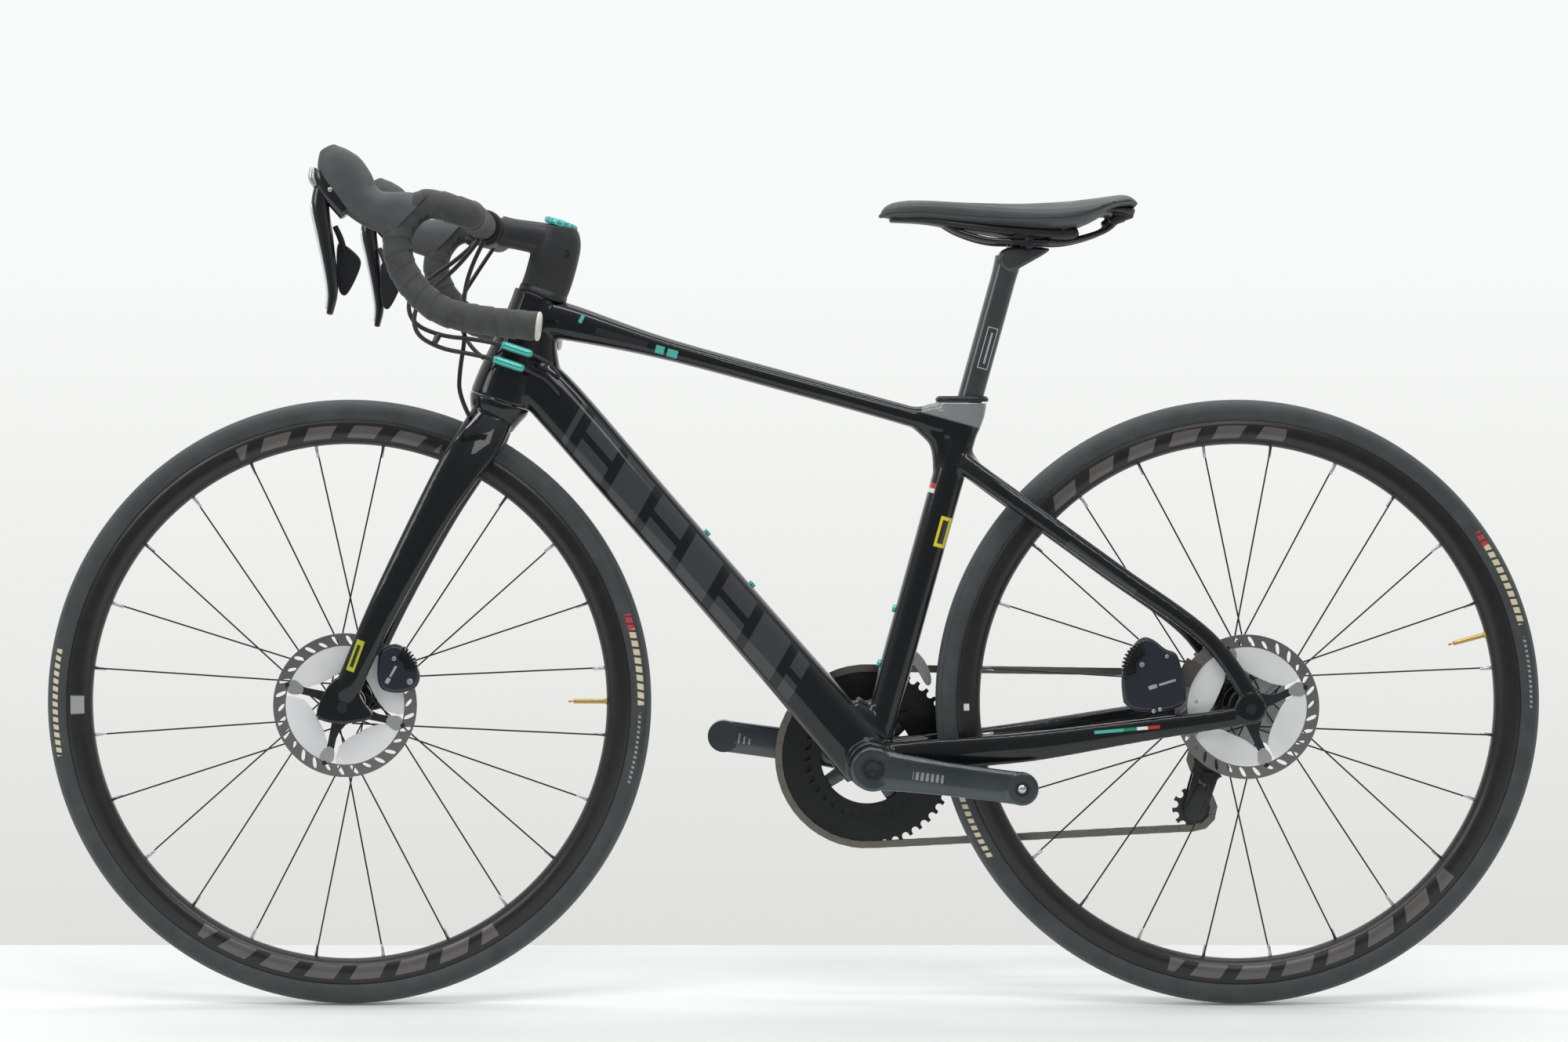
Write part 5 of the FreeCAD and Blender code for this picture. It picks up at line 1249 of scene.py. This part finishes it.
def cables():
    """The hoses and housings: the front hose goes with the fork and the rear shift housing with the frame;
    the lines that run from the bar into the frame belong to no body.
    """
    for name, route, node, start, end in (
        ("front_hose_line", FRONT_HOSE, "front_brake_hose", None, None),
        ("rear_hose_line", REAR_HOSE, "rear_brake_hose", REAR_HOSE[-1], REAR_HOSE[1]),
        ("upper_housing_line", UPPER_SHIFT, "shift_housings", UPPER_SHIFT[-1], UPPER_SHIFT[1]),
        ("lower_housing_line", LOWER_SHIFT, None, LOWER_SHIFT[-1], LOWER_SHIFT[1]),
        ("rear_housing_line", REAR_SHIFT, "rear_shift_housing", None, None),
    ):
        made = nurbs_tube(name, route, HOSE)
        body = None if start else ("fork" if name == "front_hose_line" else "frame")
        finish_piece(made, body, M["hose"], (node,) if node else ())
        if start:
            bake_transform(made)
    barrels, wires = [], []
    for start, end, port in (((-325, -44, 741), (-292, -40, 730), (-262, -25, 706)),
                             ((-334, -47, 725), (-301, -43, 714), (-262, -24, 685))):
        run = np.array(end) - np.array(start)
        barrels.append(pipe([np.array(start) + run * share for share in (0, 0.08, 0.3, 0.7, 0.92, 1)],
                            [3.6, 4.6, 4.8, 4.8, 4.5, 3.2], 24, 4, cap=0.8))
        wires.append(pipe([end, lerp(end, port, 0.5) + (4, -2, 2), port], 1.9, 12, 8))
    piece("adjuster_barrels", merged(*barrels), "frame", M["turquoise"], ("cable_adjusters",))
    piece("adjuster_cables", merged(*wires), "frame", M["hose"])
    clip = loft([(-398, -64, 742, 3.2, 3), (-396, -56, 748, 4, 3.4), (-394, -50, 752, 3.2, 3)], 2.6, 16, 6,
                across=np.array([1.0, 0, 0]), cap=1)
    made = piece("housing_clip", clip, None, M["base"])
    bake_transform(made)


stem()
cables()


# ------------------------------------------------------------ brakes
FRONT_CALIPER = ((37, 20), (38, 60), (48, 68), (63, 69), (74, 57), (83, 42), (85, 31), (81, 21), (74, 17),
                 (57, 14))
REAR_CALIPER = ((-136, -6), (-141, 26), (-138, 50), (-128, 69), (-116, 79), (-104, 75), (-92, 64), (-79, 61),
                (-75, 45), (-69, 24), (-70, -2))


def caliper(name, body, centre, y, outline_at, mouth, ribs_at, rib_angles, stripe, screws, mounts):
    """A flat-mount caliper: an outer half with ribs at its round end, an inner half, and silver screws."""
    node_low, node_high = box(f"{name}_caliper")
    near, far = node_low[1] + 0.2, node_high[1] - 0.2
    corners = [(centre[0] + x, centre[2] + z) for x, z in outline_at]
    inner = [(centre[0] + x, centre[2] + z) for x, z in mouth]
    outer = plate(corners, near, y - 2.2, 3.0, smooth=2)
    parts = [outer, plate(inner, y + 2.2, far, 2.5, smooth=2)]
    top = max(mouth, key=lambda c: c[0] ** 2 + c[1] ** 2)
    parts.append(loft([(centre[0] + top[0], y + s, centre[2] + top[1] - 5, 4, 8) for s in (-8, 0, 8)], 3, 24,
                      4,
                      across=np.array([1.0, 0, 0])))
    skin_piece = shell(f"{name}_caliper_skin", parts, 0.9, 5)
    finish_piece(skin_piece, body, M["caliper"], (f"{name}_caliper",))
    ribs = []
    rib_centre = np.array([centre[0] + ribs_at[0], centre[2] + ribs_at[1]])
    for angle in rib_angles:
        a = math.radians(angle)
        out, wide = np.array([math.cos(a), math.sin(a)]), np.array([-math.sin(a), math.cos(a)]) * 1.1
        foot, tip = rib_centre + out * 13, rib_centre + out * ribs_at[2]
        ribs.append(plate([foot - wide, foot + wide, tip + wide, tip - wide], near - 1.6, near + 2, 0.5))
    piece(f"{name}_caliper_ribs", merged(*ribs), body, M["mech"], sharp=35)
    x, z, lean, length = stripe
    along = np.array([math.cos(math.radians(lean)), math.sin(math.radians(lean))])
    start = np.array([centre[0] + x, centre[2] + z])
    side = np.array([-along[1], along[0]])
    blocks = []
    for low, high, tall in ((0, 0.3, 2.2), (0.38, 1.0, 1.3)):
        a, b = start + along * length * low, start + along * length * high
        blocks.append(plate([a - side * tall, b - side * tall, b + side * tall, a + side * tall], near - 0.35,
                            near + 0.5, 0.1))
    piece(f"{name}_caliper_stripe", merged(*blocks), body, M["stripe"])
    bolts = [bolt((centre[0] + x, near + 0.3, centre[2] + z), -LATERAL, r, 1.4, True, 20)
             for x, z, r in screws]
    bolts += [bolt((centre[0] + x, face, centre[2] + z), -LATERAL, 2.3, 1.6, False, 16)
              for x, face, z in mounts]
    piece(f"{name}_caliper_bolts", merged(*bolts), body, M["silver"], sharp=40)


caliper("front", "fork", FRONT, FRONT_ROTOR_Y, FRONT_CALIPER,
        ((40, 24), (44, 60), (60, 62), (72, 50), (78, 34), (72, 22)),
        (55, 42, 28), range(-2, 62, 9), (48, 26, 60, 22), ((56.5, 53.5, 2.6), (74, 28, 3.4)), ())
caliper("rear", "frame", REAR, REAR_ROTOR_Y, REAR_CALIPER, ((-100, 14), (-104, 50), (-94, 60), (-80, 60),
                                                            (-72, 42), (-70, 16)),
        (-112, 45, 29), range(105, 205, 9), (-111, 22, 17, 31), ((-118.5, 48, 2.8), (-91, 57, 2.2)),
        ((-106, -72.3, -3), (-99, -72.3, -1), (-60, -75.5, 8)))


# ------------------------------------------------------------ cranks and chainrings
SPINDLE_END = 71.5


def crank_arms():
    """Hollow-forged arms, tall and nearly even in side view, with a bolt at the root and an open eye."""
    for angle, side, node, word in ((LEFT_ARM, LEFT, "crank_arm_left", "left"),
                                    (RIGHT_ARM, RIGHT, "crank_arm_right", "right")):
        along = unit([math.cos(math.radians(angle)), 0, math.sin(math.radians(angle))])
        root_y, eye_y = 63 * side, 70 * side
        rows = [(*(CRANK + along * far + LATERAL * (root_y + (eye_y - root_y) * share)), up, wide)
                for far, share, up, wide in (
            (-6, 0, 21, 7), (12, 0.05, 22.5, 7.2), (34, 0.2, 20.5, 7), (82, 0.5, 18.6, 6.4),
                    (130, 0.8, 18, 6.1), (ARM_LENGTH, 1, 18.1, 6))]
        parts = [loft(rows, 3.4, 36, 8, cap=4),
                 disc(18.3, -6, 6, CRANK + along * ARM_LENGTH + LATERAL * eye_y, edge=1.5),
                 disc(24.4, -7.4, 7.4, CRANK + LATERAL * root_y, edge=2)]
        made = shell(f"crank_forging_{word}", parts, 1.0, 6)
        finish_piece(made, "crankset", M["crank"], (node,) if side == LEFT else ())
        face = side * SPINDLE_END
        details = [lathe([(0.01, 0), (12.8, 0), (12.8, 0.9), (12.2, 1.4), (10.4, 1.4), (9.8, 0.5), (5, 0.5),
                          (4.6, 0.2), (0.01, 0.2)],
                         CRANK + LATERAL * face, 48, False, LATERAL * side)]
        eye = CRANK + along * ARM_LENGTH + LATERAL * (eye_y + side * 5.9)
        details.append(lathe([(5.5, 0), (8.2, 0), (8.2, 0.6), (5.5, 0.6)], eye, 36, True, LATERAL * side))
        piece(f"crank_details_{word}", merged(*details), "crankset", M["alloy"], sharp=40)
        shine = lathe([(0.01, 0), (5.4, 0), (5.4, 0.35), (0.01, 0.35)], eye, 30, False, LATERAL * side)
        piece(f"crank_thread_{word}", shine, "crankset", M["steel"])


crank_arms()


def front_cage():
    """The front mech's two curved plates, which reach back over the chain, and the bridge between them."""
    low, high = box("front_derailleur_cage")
    corners = [(116, 401), (132, 399), (147, 389), (156, 374), (160, 357), (154, 352), (148, 363), (141, 375),
               (131, 384), (117, 389)]
    plates = [plate(corners, low[1], low[1] + 1.6, 0.4, smooth=2),
              plate(corners, high[1] - 1.6, high[1], 0.4, smooth=2)]
    plates.append(plate([(117, 398), (130, 397), (130, 400), (117, 401)], low[1], high[1], 0.4))
    piece("front_cage_plates", merged(*plates), "front_derailleur_cage", M["silver"],
          ("front_derailleur_cage",), sharp=35)


front_cage()


# ------------------------------------------------------------ finishes for the CAD pieces that stay
def dress():
    """Gives each CAD node that is still shown its finish."""
    finishes = {
        "steel": ("frame_bearings",), "turquoise": ("bottle_bolts",), "chain": ("chain",),
        "cassette": ("cassette",), "ring": ("chainrings",), "crank": ("crank_arm_right",),
        "alloy": ("rear_thru_axle", "front_thru_axle", "derailleur_hanger", "handlebar"),
        "pad": ("front_pad_left", "front_pad_right", "rear_pad_left", "rear_pad_right"),
        "spoke": ("front_spokes", "rear_spokes"), "hub": ("front_hub", "rear_hub"),
        "mech": ("front_derailleur_body", "derailleur_outer_link", "derailleur_inner_link",
                 "derailleur_cage_knuckle", "derailleur_cage"),
        "pulley": ("guide_pulley", "tension_pulley"),
    }
    finish_of = {node: M[key] for key, group in finishes.items() for node in group}
    for name, node in nodes.items():
        if node.hide_render:
            continue
        material = finish_of[name]
        for k in range(max(1, len(node.material_slots))):
            if len(node.material_slots) <= k:
                node.data.materials.append(material)
            node.material_slots[k].material = material


dress()


# ------------------------------------------------------------ floor, light and camera
def sheet(name, corners, material):
    data = bpy.data.meshes.new(name)
    data.from_pydata([tuple(c) for c in corners], [], [tuple(range(len(corners)))])
    data.materials.append(material)
    placed(name, data)


def area_light(name, at, target, size, power, colour=(1, 1, 1), tall=None):
    light = bpy.data.lights.new(name, "AREA")
    light.shape = "RECTANGLE"
    light.size, light.size_y = size, tall or size
    light.energy = power
    light.color = colour
    obj = placed(name, light)
    obj.location = at
    obj.rotation_euler = (Vector(target) - Vector(at)).to_track_quat("-Z", "Y").to_euler()


def surroundings():
    world = bpy.context.scene.world or bpy.data.worlds.new("room")
    bpy.context.scene.world = world
    world.use_nodes = True
    tree = world.node_tree
    ground = tree.nodes["Background"]
    coords = tree.nodes.new("ShaderNodeTexCoord")
    split = tree.nodes.new("ShaderNodeSeparateXYZ")
    tree.links.new(coords.outputs["Generated"], split.inputs[0])
    mixes = []
    for output, low, high, dark, light in ((1, -0.95, 0.2, (0.26, 0.265, 0.27, 1), (1, 1, 1, 1)),
                                           (2, -0.20, 0.06, (0.74, 0.745, 0.72, 1), (0.945, 0.96, 0.95, 1))):
        reach = tree.nodes.new("ShaderNodeMapRange")
        for key, value in (("From Min", low), ("From Max", high)):
            reach.inputs[key].default_value = value
        tree.links.new(split.outputs[output], reach.inputs["Value"])
        colour = tree.nodes.new("ShaderNodeMix")
        colour.data_type = "RGBA"
        colour.inputs[6].default_value = dark
        colour.inputs[7].default_value = light
        tree.links.new(reach.outputs["Result"], colour.inputs[0])
        mixes.append(colour)
    both = tree.nodes.new("ShaderNodeMix")
    both.data_type, both.blend_type = "RGBA", "MULTIPLY"
    both.inputs[0].default_value = 1
    tree.links.new(mixes[0].outputs[2], both.inputs[6])
    tree.links.new(mixes[1].outputs[2], both.inputs[7])
    tree.links.new(both.outputs[2], ground.inputs[0])
    bpy.context.scene.view_settings.view_transform = "Standard"
    pale = Nodes("pale_floor", Roughness=0.6)
    pale.colour(pale.mottled(2.5, 4, 0.3, 0.7, (0.86, 0.87, 0.86), (0.80, 0.81, 0.80)))
    sheet("floor", [(-2.5, -1.6, -0.001), (2.5, -1.6, -0.001), (2.5, 0.33, -0.001), (-2.5, 0.33, -0.001)],
          pale.material)
    area_light("ceiling_front", (0, -1.1, 2.5), (0, 0, 0.4), 3.2, 26, tall=0.22)
    area_light("ceiling_back", (0, 0.5, 2.6), (0, 0, 0.4), 3.2, 16, tall=0.3)
    area_light("window_left", (-2.2, -1.9, 1.9), (-0.1, 0, 0.5), 0.9, 16, (0.97, 0.985, 1.0), 1.4)
    area_light("front_fill", (0.9, -3.0, 2.4), (0, 0, 0.5), 1.0, 12)


def camera():
    data = bpy.data.cameras.new("view")
    data.lens, data.sensor_width = 61.1, 36
    data.shift_x, data.shift_y = 0.05, -0.07
    obj = placed("view", data)
    obj.location = (-0.0989, -3.0, 0.6669)
    obj.rotation_euler = (math.radians(90), 0, 0)
    bpy.context.scene.camera = obj


surroundings()
camera()
